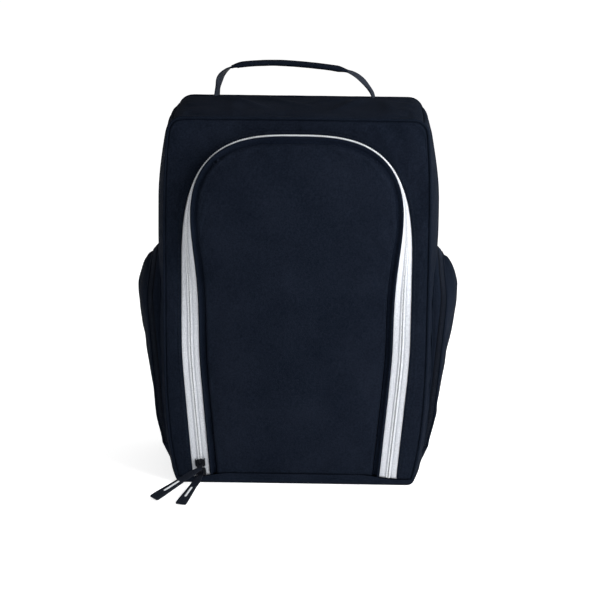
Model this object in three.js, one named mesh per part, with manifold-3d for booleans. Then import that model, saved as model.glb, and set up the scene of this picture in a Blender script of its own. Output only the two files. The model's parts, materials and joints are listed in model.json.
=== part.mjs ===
// A golf shoe bag that stands on its base: a soft box of padded fabric whose front opens as an arched flap.
// Millimetres. X is to the right, the front faces -Y, Z is up, and the origin is at the centre of the base.
import * as THREE from 'three';
import { mergeVertices } from 'three/addons/utils/BufferGeometryUtils.js';
import Module from 'manifold-3d';

// ---- The bag's body ----
const HEIGHT = 340;
const DEPTH = 150;
const FRONT_Y = -DEPTH / 2;
const BACK_Y = DEPTH / 2;
const HALF_WIDTH = 120.2; // of the front and back faces at their widest
const WIDEST_Z = 190;
const END_TAPER = 13; // how much each half narrows from the widest height down to the base
const TAPER_POWER = 4;
const TOP_CORNER = 13; // radius where a side turns into the top
const SIDE_BULGE = 9; // how far a side stands out beyond its seams at mid depth
const TOP_CROWN = 2.5;
const SEAM_TURN = Math.PI / 4; // where on the rounded corner a side meets the top
const SHEET = 2.8; // padded fabric
const GAP = 0.3; // between pieces that touch
const PIPING_RADIUS = 1.5;
const BASE_HEIGHT = 5;
const BASE_CORNER = 14;
const BASE_EDGE = 4.5; // radius of the base's lower edge
const BOARD_THICKNESS = 2;
const BOARD_INSET = 9;

// ---- The main zip, an arch on the front ----
const ZIP_WIDTH = 15.5; // both tapes and the coil
const ZIP_FOOT_Z = BASE_HEIGHT + 1.8;
const LEG_FOOT_X = 93.9; // outer edge of the tape at its foot
const LEG_KNEE_Z = 123; // below this the legs are straight
const ARCH_HALF = 104.5; // outer edge of the tape where the legs are vertical
const ARCH_SPRING_Z = 200;
const ARCH_RISE = 124.3;
const ARCH_POWER = 3; // squareness of the arch's superellipse
const TURN_START_Z = 115; // the tape starts to turn from facing forward here
const TURN_END_Z = 325;
const TURN_MAX = THREE.MathUtils.degToRad(96);
const TAPE_THICKNESS = 1.2;
const COIL_WIDTH = 1.35;
const COIL_HEIGHT = 1.9;
const COIL_GAP = 1.6; // between the two coils, where the sliders' posts run
const HALF_TAPE = (ZIP_WIDTH - COIL_GAP) / 2 - COIL_WIDTH - GAP;

// ---- The flap inside the arch ----
const FOLD_Z = 30; // the flap folds forward along this line
const FOLD_MARGIN = 1.3; // no station of the zip lies closer above the fold than this
const BAND_WIDTH = 7.5;
const BAND_THICKNESS = 2;
const FLAP_BULGE = 4;
const LINING = 1;
const LINING_INSET = 2;

// ---- Sliders, tabs and pulls ----
const SLIDER_LENGTH = 7.4;
const SLIDER_HALF = 5.2;
const PLATE = 1.2;
const CLEARANCE = 0.35;
const POST = 0.9;
const SLIDER_PITCH = 8.3; // the two main sliders are parked one above the other
const BRIDGE_WIDTH = 1.3;
const BRIDGE_HEIGHT = 3.6;
const BRIDGE_LENGTH = 5.3;
const BRIDGE_BAR = 0.95;
const BRIDGE_SINK = 0.2; // into the slider's face
const TAB_LENGTH = 8;
const TAB_WIDTH = 5;
const TAB_THICKNESS = 1.1;
const TAB_HEAD = 0.6; // above the bridge's middle
const TAB_CORNER = 1;
const SLOT_LENGTH = 2.8;
const RIBBON_LENGTH = 22;
const RIBBON_WIDTH = 7.4;
const GRIP_LENGTH = 36;
const GRIP_WIDTH = 10;
const PULL_THICKNESS = 1.8;
const UPPER_PULL_YAW = THREE.MathUtils.degToRad(40);
const LOWER_PULL_YAW = THREE.MathUtils.degToRad(14);

// ---- The side pockets ----
const POCKET_HALF = 52; // half of its depth, along Y
const POCKET_BOTTOM_Z = 32;
const POCKET_SPRING_Z = 150;
const POCKET_RISE = 62;
const POCKET_POWER = 2.6;
const POCKET_LOW_X = 127.4; // how far out the lid's rim is at the bottom
const POCKET_HIGH_X = 140; // and from its fullest height up
const POCKET_FULL_Z = 175;
const POCKET_SLOPE = 1.1; // how steeply the gusset's top falls on its way out
const POCKET_DOME = 9;
const DOME_START_Z = 60; // the lid swells between these heights
const DOME_FULL_Z = 180;
const LID_TOP_Z = 201;
const POCKET_SHEET = 1.6;
const POCKET_LID = 1.4;
const POCKET_ZIP_HALF = 1.8;
const POCKET_ZIP_GAP = 1.5;
const POCKET_SLIDER_HALF = 2.5;
const POCKET_SLIDER_Z = 68;
const POCKET_PULL_LENGTH = 26;

// ---- The handle on top ----
const HANDLE_Y = 58;
const STRAP_HALF_WIDTH = 8;
const STRAP_NECK = 1; // half of its width where it folds
const STRAP_THICKNESS = 2;
const SLEEVE_HALF_WIDTH = 8.5;
const SLEEVE_THICKNESS = 5.4;
const FOOT_HEIGHT = 10; // the strap's feet stand up this far before it can swing
const REINFORCEMENT = { halfDepth: 10, thickness: 1.5, overhang: 8 };
const HANDLE_ROUTE = [
  [-80, 0], [-78.5, 12], [-74.5, 23], [-62, 31], [-33, 34], [-5, 33.4],
  [30, 30], [47, 26], [58, 19], [67, 8], [70, 0],
];
const SLEEVE_START = 0.19;
const SLEEVE_END = 0.79;

const FORWARD = new THREE.Vector3(0, -1, 0);

const wasm = await Module();
wasm.setup();

// ---- How finely curved shapes are divided ----
const WALL_STEPS = 11; // up a side
const CORNER_STEPS = 4; // round a side's top corner
const PANEL_COLUMNS = 8; // from front to back
const PIPING_SIDES = 6;
const BASE_EDGE_STEPS = 3;
const BASE_CORNER_STEPS = 4;
const LEG_STEPS = 3; // places on a leg of the zip that its curve goes through
const QUARTER_STEPS = 9; // and on each half of the arch
const ZIP_STATIONS = 44;
const FLAP_COLUMNS = 6;
const PULL_STEPS = 3;
const POCKET_LEG_STEPS = 4;
const POCKET_QUARTER_STEPS = 7;
const POCKET_STATIONS = 26;
const LID_COLUMNS = 6;
const FLOOR_STEPS = 6;
const STRAP_STEPS = 9;
const SLEEVE_STEPS = 14;
const SLEEVE_SIDES = 10;
const SMALL_CURVE = 3; // in each rounded corner of a small plate
const HALVINGS = 40; // enough to find a place to a hair's breadth
const ANGLE_SLACK = 0.001;

// ---- Materials ----
function paint(color, roughness, metalness = 0) {
  return new THREE.MeshStandardMaterial({ color, roughness, metalness });
}

const navyFabric = paint(0x181d28, 0.85);
const darkBinding = paint(0x0c1018, 0.8);
const whiteTape = paint(0xcfd2d8, 0.75);
const whiteCoil = paint(0xeceef0, 0.45);
const blackTape = paint(0x101319, 0.8);
const blackMetal = paint(0x14161a, 0.4, 0.6);
const blackRubber = paint(0x2b3038, 0.7);
const webbing = paint(0x262c36, 0.8);
const greyBoard = paint(0x4a4c50, 0.9);

// ---- Building blocks ----

// A closed body from points and triangles, with its faces pointing out.
function closedBody(points, triangles) {
  const corner = (index) => points[index];
  let volume = 0;
  for (let k = 0; k < triangles.length; k += 3) {
    const [a, b, c] = [triangles[k], triangles[k + 1], triangles[k + 2]].map(corner);
    volume += a.dot(new THREE.Vector3().crossVectors(b, c));
  }
  const index = volume > 0 ? triangles : triangles.slice().reverse();
  const geometry = new THREE.BufferGeometry().setFromPoints(points);
  geometry.setIndex(index);
  geometry.computeVertexNormals();
  return geometry;
}

// A thick sheet between two grids of points of the same size.
function slab(front, back) {
  const rows = front.length;
  const columns = front[0].length;
  const points = [...front.flat(), ...back.flat()];
  const at = (side, row, column) => side * rows * columns + row * columns + column;
  const triangles = [];
  const quad = (a, b, c, d) => triangles.push(a, b, c, a, c, d);
  for (let i = 0; i + 1 < rows; i += 1) {
    for (let j = 0; j + 1 < columns; j += 1) {
      quad(at(0, i, j), at(0, i, j + 1), at(0, i + 1, j + 1), at(0, i + 1, j));
      quad(at(1, i, j), at(1, i + 1, j), at(1, i + 1, j + 1), at(1, i, j + 1));
    }
    quad(at(0, i, 0), at(0, i + 1, 0), at(1, i + 1, 0), at(1, i, 0));
    quad(at(0, i + 1, columns - 1), at(0, i, columns - 1), at(1, i, columns - 1), at(1, i + 1, columns - 1));
  }
  for (let j = 0; j + 1 < columns; j += 1) {
    quad(at(0, 0, j + 1), at(0, 0, j), at(1, 0, j), at(1, 0, j + 1));
    quad(at(0, rows - 1, j), at(0, rows - 1, j + 1), at(1, rows - 1, j + 1), at(1, rows - 1, j));
  }
  return closedBody(points, triangles);
}

// A closed body through rings of points, each ring convex and of the same size.
function loft(rings) {
  const size = rings[0].length;
  const last = (rings.length - 1) * size;
  const triangles = [];
  for (let i = 0; i + 1 < rings.length; i += 1) {
    for (let j = 0; j < size; j += 1) {
      const next = (j + 1) % size;
      const [a, b] = [i * size + j, i * size + next];
      triangles.push(a, b, b + size, a, b + size, a + size);
    }
  }
  for (let j = 1; j + 1 < size; j += 1) {
    triangles.push(0, j + 1, j);
    triangles.push(last, last + j, last + j + 1);
  }
  return closedBody(rings.flat(), triangles);
}

function toSolid(geometry) {
  const bare = geometry.clone();
  bare.deleteAttribute('normal');
  bare.deleteAttribute('uv');
  const merged = mergeVertices(bare, 1e-4);
  const vertProperties = new Float32Array(merged.attributes.position.array);
  const triVerts = new Uint32Array(merged.index.array);
  return new wasm.Manifold(new wasm.Mesh({ numProp: 3, vertProperties, triVerts }));
}

// Several overlapping closed shapes joined into one.
function join(...geometries) {
  const [first, ...others] = geometries.map(toSolid);
  const mesh = others.reduce((whole, piece) => whole.add(piece), first).getMesh();
  const geometry = new THREE.BufferGeometry();
  geometry.setAttribute('position', new THREE.BufferAttribute(new Float32Array(mesh.vertProperties), 3));
  geometry.setIndex(new THREE.BufferAttribute(new Uint32Array(mesh.triVerts), 1));
  geometry.computeVertexNormals();
  return geometry;
}

function box(x0, x1, y0, y1, z0, z1) {
  const geometry = new THREE.BoxGeometry(x1 - x0, y1 - y0, z1 - z0);
  return geometry.translate((x0 + x1) / 2, (y0 + y1) / 2, (z0 + z1) / 2);
}

// A plate whose outline lies in XZ, and which reaches from frontY back by thickness.
function uprightPlate(shape, frontY, thickness) {
  const options = { depth: thickness, bevelEnabled: false, curveSegments: SMALL_CURVE };
  const geometry = new THREE.ExtrudeGeometry(shape, options);
  return geometry.rotateX(Math.PI / 2).translate(0, frontY + thickness, 0);
}

function roundedRectangle(halfX, halfY, radius) {
  const shape = new THREE.Shape();
  shape.absarc(halfX - radius, halfY - radius, radius, 0, Math.PI / 2);
  shape.absarc(radius - halfX, halfY - radius, radius, Math.PI / 2, Math.PI);
  shape.absarc(radius - halfX, radius - halfY, radius, Math.PI, Math.PI * 1.5);
  shape.absarc(halfX - radius, radius - halfY, radius, Math.PI * 1.5, Math.PI * 2);
  return shape;
}

const bag = new THREE.Group();

function addNode(name, geometry, material) {
  const mesh = new THREE.Mesh(geometry, material);
  mesh.name = name;
  bag.add(mesh);
  return mesh;
}

const lerp = THREE.MathUtils.lerp;
const steps = (count) => Array.from({ length: count + 1 }, (_, k) => k / count);
const sides = [['left', -1], ['right', 1]];

// ---- The body's surfaces ----

// Half of the width of the front and back faces at a height, without the rounded top corner.
const faceHalf = (z) => HALF_WIDTH - END_TAPER * Math.abs((z - WIDEST_Z) / WIDEST_Z) ** TAPER_POWER;
const fullness = (y) => 1 - (y / BACK_Y) ** 2;

// One side's edge, from the base up and round the top corner, with the direction that it faces.
function sideProfile(inset = 0) {
  const cornerZ = HEIGHT - TOP_CORNER;
  const wall = steps(WALL_STEPS).map((t) => {
    const z = lerp(BASE_HEIGHT + GAP, cornerZ, t);
    return { x: faceHalf(z) - inset, z, turn: 0 };
  });
  const corner = steps(CORNER_STEPS).slice(1).map((t) => {
    const turn = t * Math.PI / 2;
    const radius = TOP_CORNER - inset;
    const centreX = faceHalf(cornerZ) - TOP_CORNER;
    return { x: centreX + radius * Math.cos(turn), z: cornerZ + radius * Math.sin(turn), turn };
  });
  return [...wall, ...corner];
}

// A point of the body's skin: a profile point, moved out by the bulge at y and in by depth.
function skinPoint(side, { x, z, turn }, y, depth) {
  const bulge = fullness(y) * (SIDE_BULGE * Math.cos(turn) ** 2 + TOP_CROWN * Math.sin(turn) ** 2) - depth;
  return new THREE.Vector3(side * (x + bulge * Math.cos(turn)), y, z + bulge * Math.sin(turn));
}

const SEAM_INDEX = sideProfile().findIndex(({ turn }) => turn > SEAM_TURN - ANGLE_SLACK);
const panelYs = steps(PANEL_COLUMNS).map((t) => lerp(FRONT_Y + SHEET + 2 * GAP, BACK_Y - SHEET - 2 * GAP, t));

// The part of a profile beyond its seam with the side panel, drawn back from the seam by the gap.
function topProfile() {
  const [seam, ...rest] = sideProfile().slice(SEAM_INDEX);
  const turn = seam.turn + GAP / TOP_CORNER;
  const x = seam.x + TOP_CORNER * (Math.cos(turn) - Math.cos(seam.turn));
  const z = seam.z + TOP_CORNER * (Math.sin(turn) - Math.sin(seam.turn));
  return [{ x, z, turn }, ...rest];
}

function addBodyPanels() {
  const sheetAcross = (places, side) => (depth) => places.map((place) => {
    return panelYs.map((y) => skinPoint(side, place, y, depth));
  });
  sides.forEach(([name, side]) => {
    const grid = sheetAcross(sideProfile().slice(0, SEAM_INDEX + 1), side);
    addNode(`${name}_side_panel`, slab(grid(0), grid(SHEET)), navyFabric);
  });
  const topGrid = (depth) => [
    ...sheetAcross(topProfile(), -1)(depth),
    ...sheetAcross(topProfile().reverse(), 1)(depth),
  ];
  addNode('top_panel', slab(topGrid(0), topGrid(SHEET)), navyFabric);

  const edge = sideProfile(PIPING_RADIUS + GAP);
  const outline = [...edge, ...edge.slice().reverse().map((p) => ({ x: -p.x, z: p.z }))];
  const backShape = new THREE.Shape(outline.map((p) => new THREE.Vector2(p.x, p.z)));
  addNode('back_panel', uprightPlate(backShape, BACK_Y - SHEET, SHEET), navyFabric);

  const opening = zipEdge.getSpacedPoints(ZIP_STATIONS).reverse().map((p) => new THREE.Vector2(p.x, p.z));
  const surroundOutline = [...outline.map((p) => new THREE.Vector2(p.x, p.z)), ...opening];
  addNode('front_surround', uprightPlate(new THREE.Shape(surroundOutline), FRONT_Y, SHEET), navyFabric);
}

// A round cord round the sides and the top of a face, in the seam between the panels.
function addPiping(name, y) {
  const angles = steps(PIPING_SIDES).slice(1).map((t) => t * Math.PI * 2);
  const ring = (side) => ({ x, z, turn }) => angles.map((angle) => {
    const out = PIPING_RADIUS * Math.cos(angle);
    const reach = x + out * Math.cos(turn);
    return new THREE.Vector3(side * reach, y + PIPING_RADIUS * Math.sin(angle), z + out * Math.sin(turn));
  });
  const rings = sideProfile().map(ring(1));
  addNode(name, loft([...rings, ...sideProfile().reverse().map(ring(-1))]), darkBinding);
}

function addBase() {
  const rings = steps(BASE_EDGE_STEPS).map((t) => {
    const turn = (1 - t) * Math.PI / 2;
    const z = BASE_EDGE * (1 - Math.sin(turn));
    const inset = BASE_EDGE * (1 - Math.cos(turn));
    const halfX = faceHalf(z) + SIDE_BULGE / 2 - inset;
    const outline = roundedRectangle(halfX, BACK_Y - inset, BASE_CORNER - inset);
    return outline.getPoints(BASE_CORNER_STEPS).map((p) => new THREE.Vector3(p.x, p.y, z));
  });
  const rim = rings[rings.length - 1].map((p) => p.clone().setZ(BASE_HEIGHT));
  addNode('base_panel', loft([...rings, rim]), navyFabric);

  const board = roundedRectangle(faceHalf(BASE_HEIGHT) - BOARD_INSET, BACK_Y - BOARD_INSET, BASE_CORNER);
  const options = { depth: BOARD_THICKNESS, bevelEnabled: false, curveSegments: BASE_CORNER_STEPS };
  const boardBody = new THREE.ExtrudeGeometry(board, options);
  addNode('base_board', boardBody.translate(0, 0, BASE_HEIGHT + GAP), greyBoard);
}

// ---- The main zip ----

// The edge where the outer tape meets the front, from the right foot over the arch to the left foot.
function zipEdgeCurve() {
  const leg = (z) => lerp(LEG_FOOT_X, ARCH_HALF - GAP, (z - ZIP_FOOT_Z) / (LEG_KNEE_Z - ZIP_FOOT_Z));
  const straight = steps(LEG_STEPS).map((t) => lerp(ZIP_FOOT_Z, LEG_KNEE_Z, t)).map((z) => [leg(z), z]);
  const upright = [[ARCH_HALF, (LEG_KNEE_Z + ARCH_SPRING_Z) / 2]];
  const quarter = steps(QUARTER_STEPS).slice(0, -1).map((t) => {
    const angle = t * Math.PI / 2;
    const x = ARCH_HALF * Math.cos(angle) ** (2 / ARCH_POWER);
    return [x, ARCH_SPRING_Z + ARCH_RISE * Math.sin(angle) ** (2 / ARCH_POWER)];
  });
  const right = [...straight, ...upright, ...quarter];
  const left = right.slice().reverse().map(([x, z]) => [-x, z]);
  const route = [...right, [0, ARCH_SPRING_Z + ARCH_RISE], ...left];
  const places = route.map(([x, z]) => new THREE.Vector3(x, FRONT_Y, z));
  return new THREE.CatmullRomCurve3(places, false, 'centripetal');
}

const zipEdge = zipEdgeCurve();
const tapeTurn = (z) => TURN_MAX * THREE.MathUtils.smoothstep(z, TURN_START_Z, TURN_END_Z);

// A place on the zip: its edge point, the way across it towards the flap, and the way its face looks.
function zipStation(t) {
  const point = zipEdge.getPointAt(t);
  const inward = new THREE.Vector3().crossVectors(FORWARD, zipEdge.getTangentAt(t)).normalize();
  const turn = tapeTurn(point.z);
  const along = (angle) => {
    return inward.clone().multiplyScalar(Math.cos(angle)).addScaledVector(FORWARD, Math.sin(angle));
  };
  const face = (angle) => along(angle + Math.PI / 2);
  const zip = { across: along(turn), face: face(turn) };
  const band = { bandAcross: along(turn / 2), bandFace: face(turn / 2) };
  return { point, inward, turn, ...zip, ...band };
}

const zipStations = steps(ZIP_STATIONS).map(zipStation);

function onZip({ point, across, face }, u, v) {
  return point.clone().addScaledVector(across, u).addScaledVector(face, v);
}

// The place on the zip at a height on one leg, found by halving.
function stationAtHeight(z, side) {
  let [low, high] = [0, 0.5];
  for (let k = 0; k < HALVINGS; k += 1) {
    const middle = (low + high) / 2;
    if (zipEdge.getPointAt(middle).z < z) {
      low = middle;
    } else {
      high = middle;
    }
  }
  return zipStation(side > 0 ? low : 1 - low);
}

// The stations of the stretch that swings with the flap, cut clean at the fold.
const foldStations = [
  stationAtHeight(FOLD_Z + GAP, 1),
  ...zipStations.filter(({ point }) => point.z > FOLD_Z + FOLD_MARGIN),
  stationAtHeight(FOLD_Z + GAP, -1),
];

function zipStrip(stations, u0, u1, v0, v1) {
  const grid = (v) => stations.map((s) => [onZip(s, u0, v), onZip(s, u1, v)]);
  return slab(grid(v1), grid(v0));
}

const OUTER_COIL_U = GAP + HALF_TAPE;
const INNER_COIL_U = ZIP_WIDTH - HALF_TAPE - COIL_WIDTH;
const COIL_BACK = -(TAPE_THICKNESS + COIL_HEIGHT) / 2;

function addMainZip() {
  const outerTape = zipStrip(zipStations, GAP, HALF_TAPE, -TAPE_THICKNESS, 0);
  addNode('outer_zip_tape', outerTape, whiteTape);
  const coil = (stations, u) => zipStrip(stations, u, u + COIL_WIDTH, COIL_BACK, COIL_BACK + COIL_HEIGHT);
  addNode('outer_zip_coil', coil(zipStations, OUTER_COIL_U), whiteCoil);
  const innerEdge = INNER_COIL_U + COIL_WIDTH + GAP;
  addNode('inner_zip_tape', zipStrip(foldStations, innerEdge, ZIP_WIDTH, -TAPE_THICKNESS, 0), whiteTape);
  addNode('inner_zip_coil', coil(foldStations, INNER_COIL_U), whiteCoil);
  sides.forEach(([name, side]) => {
    const foot = [side > 0 ? zipStation(0) : zipStation(1), stationAtHeight(FOLD_Z - GAP, side)];
    addNode(`${name}_inner_tape_foot`, zipStrip(foot, innerEdge, ZIP_WIDTH, -TAPE_THICKNESS, 0), whiteTape);
    addNode(`${name}_inner_coil_foot`, coil(foot, INNER_COIL_U), whiteCoil);
  });
}

// ---- The flap ----

// How much further the pieces beside the band stand off where it turns, so that its back clears them.
const bandRelief = ({ turn }) => GAP + BAND_THICKNESS * Math.sin(turn / 2);

// A point of the band that joins the zip to the flap's panel: u across it, v out from its face.
function onBand(station, u, v) {
  const start = onZip(station, ZIP_WIDTH + bandRelief(station), 0);
  return start.addScaledVector(station.bandAcross, u).addScaledVector(station.bandFace, v);
}

function flapEdge(station) {
  return onBand(station, BAND_WIDTH, 0).addScaledVector(station.inward, bandRelief(station));
}

// Rows of points across the flap between the band's inner edges, each row at one height.
function flapGrid(inset, depth) {
  const edges = foldStations.slice(0, Math.floor(foldStations.length / 2) - 1).map(flapEdge);
  const lowest = edges[0].clone().setZ(FOLD_Z + GAP);
  return [lowest, ...edges].map((edge) => steps(FLAP_COLUMNS).map((t) => {
    const across = 1 - 2 * t;
    const rise = Math.min(1, (edge.z - FOLD_Z) / FOLD_Z);
    const y = edge.y - FLAP_BULGE * rise * (1 - across ** 2) + depth;
    return new THREE.Vector3((edge.x - inset) * across, y, edge.z);
  }));
}

function addFlap() {
  const grid = (v) => foldStations.map((s) => [onBand(s, 0, v), onBand(s, BAND_WIDTH, v)]);
  addNode('flap_band', slab(grid(0), grid(-BAND_THICKNESS)), darkBinding);
  addNode('flap_panel', slab(flapGrid(0, 0), flapGrid(0, SHEET)), navyFabric);
  const liningFront = SHEET + GAP;
  const lining = slab(flapGrid(LINING_INSET, liningFront), flapGrid(LINING_INSET, liningFront + LINING));
  addNode('flap_lining', lining, darkBinding);

  const footHalf = (station) => station.point.x - ZIP_WIDTH - GAP;
  const [low, high] = [zipStation(0), stationAtHeight(FOLD_Z - GAP, 1)];
  const foot = new THREE.Shape([
    new THREE.Vector2(-footHalf(low), low.point.z),
    new THREE.Vector2(footHalf(low), low.point.z),
    new THREE.Vector2(footHalf(high), high.point.z),
    new THREE.Vector2(-footHalf(high), high.point.z),
  ]);
  addNode('flap_foot', uprightPlate(foot, FRONT_Y, SHEET), navyFabric);
}

// ---- Sliders, tabs and pulls ----

// The arch on a slider's face that carries the tab, standing out along -Y and centred on the origin.
function sliderBridge() {
  const shape = roundedRectangle(BRIDGE_LENGTH / 2, BRIDGE_HEIGHT / 2, BRIDGE_BAR);
  const hole = [BRIDGE_LENGTH / 2 - BRIDGE_BAR, BRIDGE_HEIGHT / 2 - BRIDGE_BAR, BRIDGE_BAR / 2];
  shape.holes.push(roundedRectangle(...hole));
  const options = { depth: BRIDGE_WIDTH, bevelEnabled: false, curveSegments: SMALL_CURVE };
  const arch = new THREE.ExtrudeGeometry(shape, options).translate(0, 0, -BRIDGE_WIDTH / 2);
  return arch.rotateY(Math.PI / 2);
}

const BRIDGE_Y = -(CLEARANCE + PLATE + BRIDGE_HEIGHT / 2 - BRIDGE_SINK);

// A slider that grips one or both coils. Its frame has the coils' gap at x = 0 and the tape's face at y = 0.
function sliderBody(outerHalf, innerHalf, tapeDepth) {
  const halfLength = SLIDER_LENGTH / 2;
  const frontPlate = box(-outerHalf, innerHalf, -CLEARANCE - PLATE, -CLEARANCE, -halfLength, halfLength);
  const backY = tapeDepth + CLEARANCE;
  const backPlate = box(-outerHalf, innerHalf, backY, backY + PLATE, -halfLength, halfLength);
  const post = box(-POST / 2, POST / 2, -CLEARANCE - PLATE / 2, backY + PLATE / 2, -halfLength, halfLength);
  const bridge = sliderBridge().translate(0, BRIDGE_Y, 0);
  return join(frontPlate, backPlate, post, bridge);
}

// A tab and its pull, hanging from the origin and pointing down -Z, with their faces along Y.
function tabShape() {
  const shape = new THREE.Shape();
  const half = TAB_WIDTH / 2;
  const cornerZ = TAB_CORNER - TAB_LENGTH;
  shape.moveTo(-half, TAB_HEAD);
  shape.lineTo(half, TAB_HEAD);
  shape.lineTo(half, cornerZ);
  shape.absarc(half - TAB_CORNER, cornerZ, TAB_CORNER, 0, -Math.PI / 2, true);
  shape.absarc(TAB_CORNER - half, cornerZ, TAB_CORNER, -Math.PI / 2, -Math.PI, true);
  shape.closePath();
  const slot = new THREE.Path();
  const slotHalf = BRIDGE_WIDTH / 2 + CLEARANCE;
  slot.moveTo(-slotHalf, -TAB_HEAD);
  slot.lineTo(-slotHalf, -TAB_HEAD - SLOT_LENGTH);
  slot.lineTo(slotHalf, -TAB_HEAD - SLOT_LENGTH);
  slot.lineTo(slotHalf, -TAB_HEAD);
  slot.closePath();
  shape.holes.push(slot);
  return shape;
}

const tabGeometry = () => uprightPlate(tabShape(), -TAB_THICKNESS / 2, TAB_THICKNESS);

// A flat strip that widens towards its end, from the tab's tip down.
function strip(startZ, length, startHalf, endHalf, thickness) {
  const rings = steps(PULL_STEPS).map((t) => {
    const half = lerp(startHalf, endHalf, THREE.MathUtils.smoothstep(t, 0, 1));
    const z = startZ - length * t;
    const front = [-half, half].map((x) => new THREE.Vector3(x, -thickness / 2, z));
    const back = [half, -half].map((x) => new THREE.Vector3(x, thickness / 2, z));
    return [...front, ...back];
  });
  return loft(rings);
}

const LEG_LEAN = Math.atan2(ARCH_HALF - GAP - LEG_FOOT_X, LEG_KNEE_Z - ZIP_FOOT_Z);
const LOWEST_TIP = 1.1; // a pull's tip clears the ground by a little more than half of its thickness

// A main slider on the left leg, with its tab and pull lying forward and down to the ground.
function addMainSlider(name, z, yaw) {
  const station = stationAtHeight(z, -1);
  const coilFront = COIL_BACK + COIL_HEIGHT;
  const place = onZip(station, ZIP_WIDTH / 2, coilFront);
  const body = addNode(`${name}_slider`, sliderBody(SLIDER_HALF, POST / 2, COIL_HEIGHT), blackMetal);
  body.position.copy(place);
  body.rotation.y = -LEG_LEAN;

  const ribbonStart = GAP + (TAB_WIDTH / 2) * Math.tan(yaw);
  const pullLength = ribbonStart + RIBBON_LENGTH + GAP + GRIP_LENGTH;
  const reach = TAB_LENGTH + pullLength * Math.cos(yaw) + (GRIP_WIDTH / 2) * Math.sin(yaw);
  const slope = Math.asin((place.z - LOWEST_TIP) / reach);
  const hanging = new THREE.Group();
  hanging.position.copy(place).add(new THREE.Vector3(0, BRIDGE_Y, 0));
  hanging.rotation.x = slope - Math.PI / 2;
  bag.add(hanging);
  const turned = new THREE.Group();
  turned.position.z = -TAB_LENGTH;
  turned.rotation.y = yaw;
  hanging.add(turned);
  hanging.add(addNode(`${name}_tab`, tabGeometry(), blackMetal));
  const ribbon = strip(-ribbonStart, RIBBON_LENGTH, TAB_WIDTH / 2, RIBBON_WIDTH / 2, PULL_THICKNESS);
  turned.add(addNode(`${name}_pull_ribbon`, ribbon, blackTape));
  const gripStart = ribbonStart + RIBBON_LENGTH + GAP;
  const grip = strip(-gripStart, GRIP_LENGTH, RIBBON_WIDTH / 2, GRIP_WIDTH / 2, PULL_THICKNESS);
  turned.add(addNode(`${name}_pull_grip`, grip, blackRubber));
}

function addMainSliders() {
  const lowest = ZIP_FOOT_Z + SLIDER_LENGTH / 2 + GAP;
  addMainSlider('lower', lowest, LOWER_PULL_YAW);
  addMainSlider('upper', lowest + SLIDER_PITCH, UPPER_PULL_YAW);
}

// ---- The side pockets ----

function pocketEdgeX(z) {
  const rise = THREE.MathUtils.clamp((z - POCKET_BOTTOM_Z) / (POCKET_FULL_Z - POCKET_BOTTOM_Z), 0, 1);
  return lerp(POCKET_LOW_X, POCKET_HIGH_X, rise);
}

// An arch in the YZ plane, from the front foot over the top to the rear foot.
function pocketCurve() {
  const legHeights = steps(POCKET_LEG_STEPS).map((t) => lerp(POCKET_BOTTOM_Z + GAP, POCKET_SPRING_Z, t));
  const leg = legHeights.map((z) => [POCKET_HALF, z]);
  const quarter = steps(POCKET_QUARTER_STEPS).slice(1, -1).map((t) => {
    const angle = t * Math.PI / 2;
    const y = POCKET_HALF * Math.cos(angle) ** (2 / POCKET_POWER);
    return [y, POCKET_SPRING_Z + POCKET_RISE * Math.sin(angle) ** (2 / POCKET_POWER)];
  });
  const rear = [...leg, ...quarter];
  const front = rear.slice().reverse().map(([y, z]) => [-y, z]);
  const route = [...rear, [0, POCKET_SPRING_Z + POCKET_RISE], ...front].reverse();
  return new THREE.CatmullRomCurve3(route.map(([y, z]) => new THREE.Vector3(0, y, z)), false, 'centripetal');
}

// How much of the lid's swelling is left near its top, where it rounds over to its rim.
function domeShoulder(z) {
  const height = THREE.MathUtils.clamp((z - DOME_FULL_Z) / (LID_TOP_Z - DOME_FULL_Z), 0, 1);
  return Math.sqrt(1 - height ** 2);
}

const pocketStations = (() => {
  const curve = pocketCurve();
  return steps(POCKET_STATIONS).map((t) => {
    const tangent = curve.getTangentAt(t);
    return { point: curve.getPointAt(t), outward: new THREE.Vector3(0, -tangent.z, tangent.y) };
  });
})();

const sideSurfaceX = ({ y, z }) => faceHalf(z) + SIDE_BULGE * fullness(y) + GAP;

// A place on the gusset at a distance out from the bag's middle. Its top falls on its way out.
function onGusset({ point, outward }, x, depth = 0) {
  const fall = POCKET_SLOPE * outward.z * Math.max(0, x - sideSurfaceX(point));
  return point.clone().addScaledVector(outward, -depth - fall).setX(x);
}

// A strip that follows the pocket's arch between two distances out, as thick as the pocket's sheet.
function pocketStrip(side, nearX, farX) {
  const mirrored = (place) => place.setX(side * place.x);
  const grid = (depth) => pocketStations.map((station) => {
    return [nearX(station.point), farX(station.point)].map((x) => mirrored(onGusset(station, x, depth)));
  });
  return slab(grid(0), grid(POCKET_SHEET));
}

const edgeLess = (distance) => ({ z }) => pocketEdgeX(z) - distance;
const LID_ZIP_FAR = POCKET_LID + GAP;
const LID_ZIP_NEAR = LID_ZIP_FAR + POCKET_ZIP_HALF;
const BODY_ZIP_FAR = LID_ZIP_NEAR + POCKET_ZIP_GAP;
const BODY_ZIP_NEAR = BODY_ZIP_FAR + POCKET_ZIP_HALF;
const POCKET_LEAN = Math.atan2(POCKET_HIGH_X - POCKET_LOW_X, POCKET_FULL_Z - POCKET_BOTTOM_Z);

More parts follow.
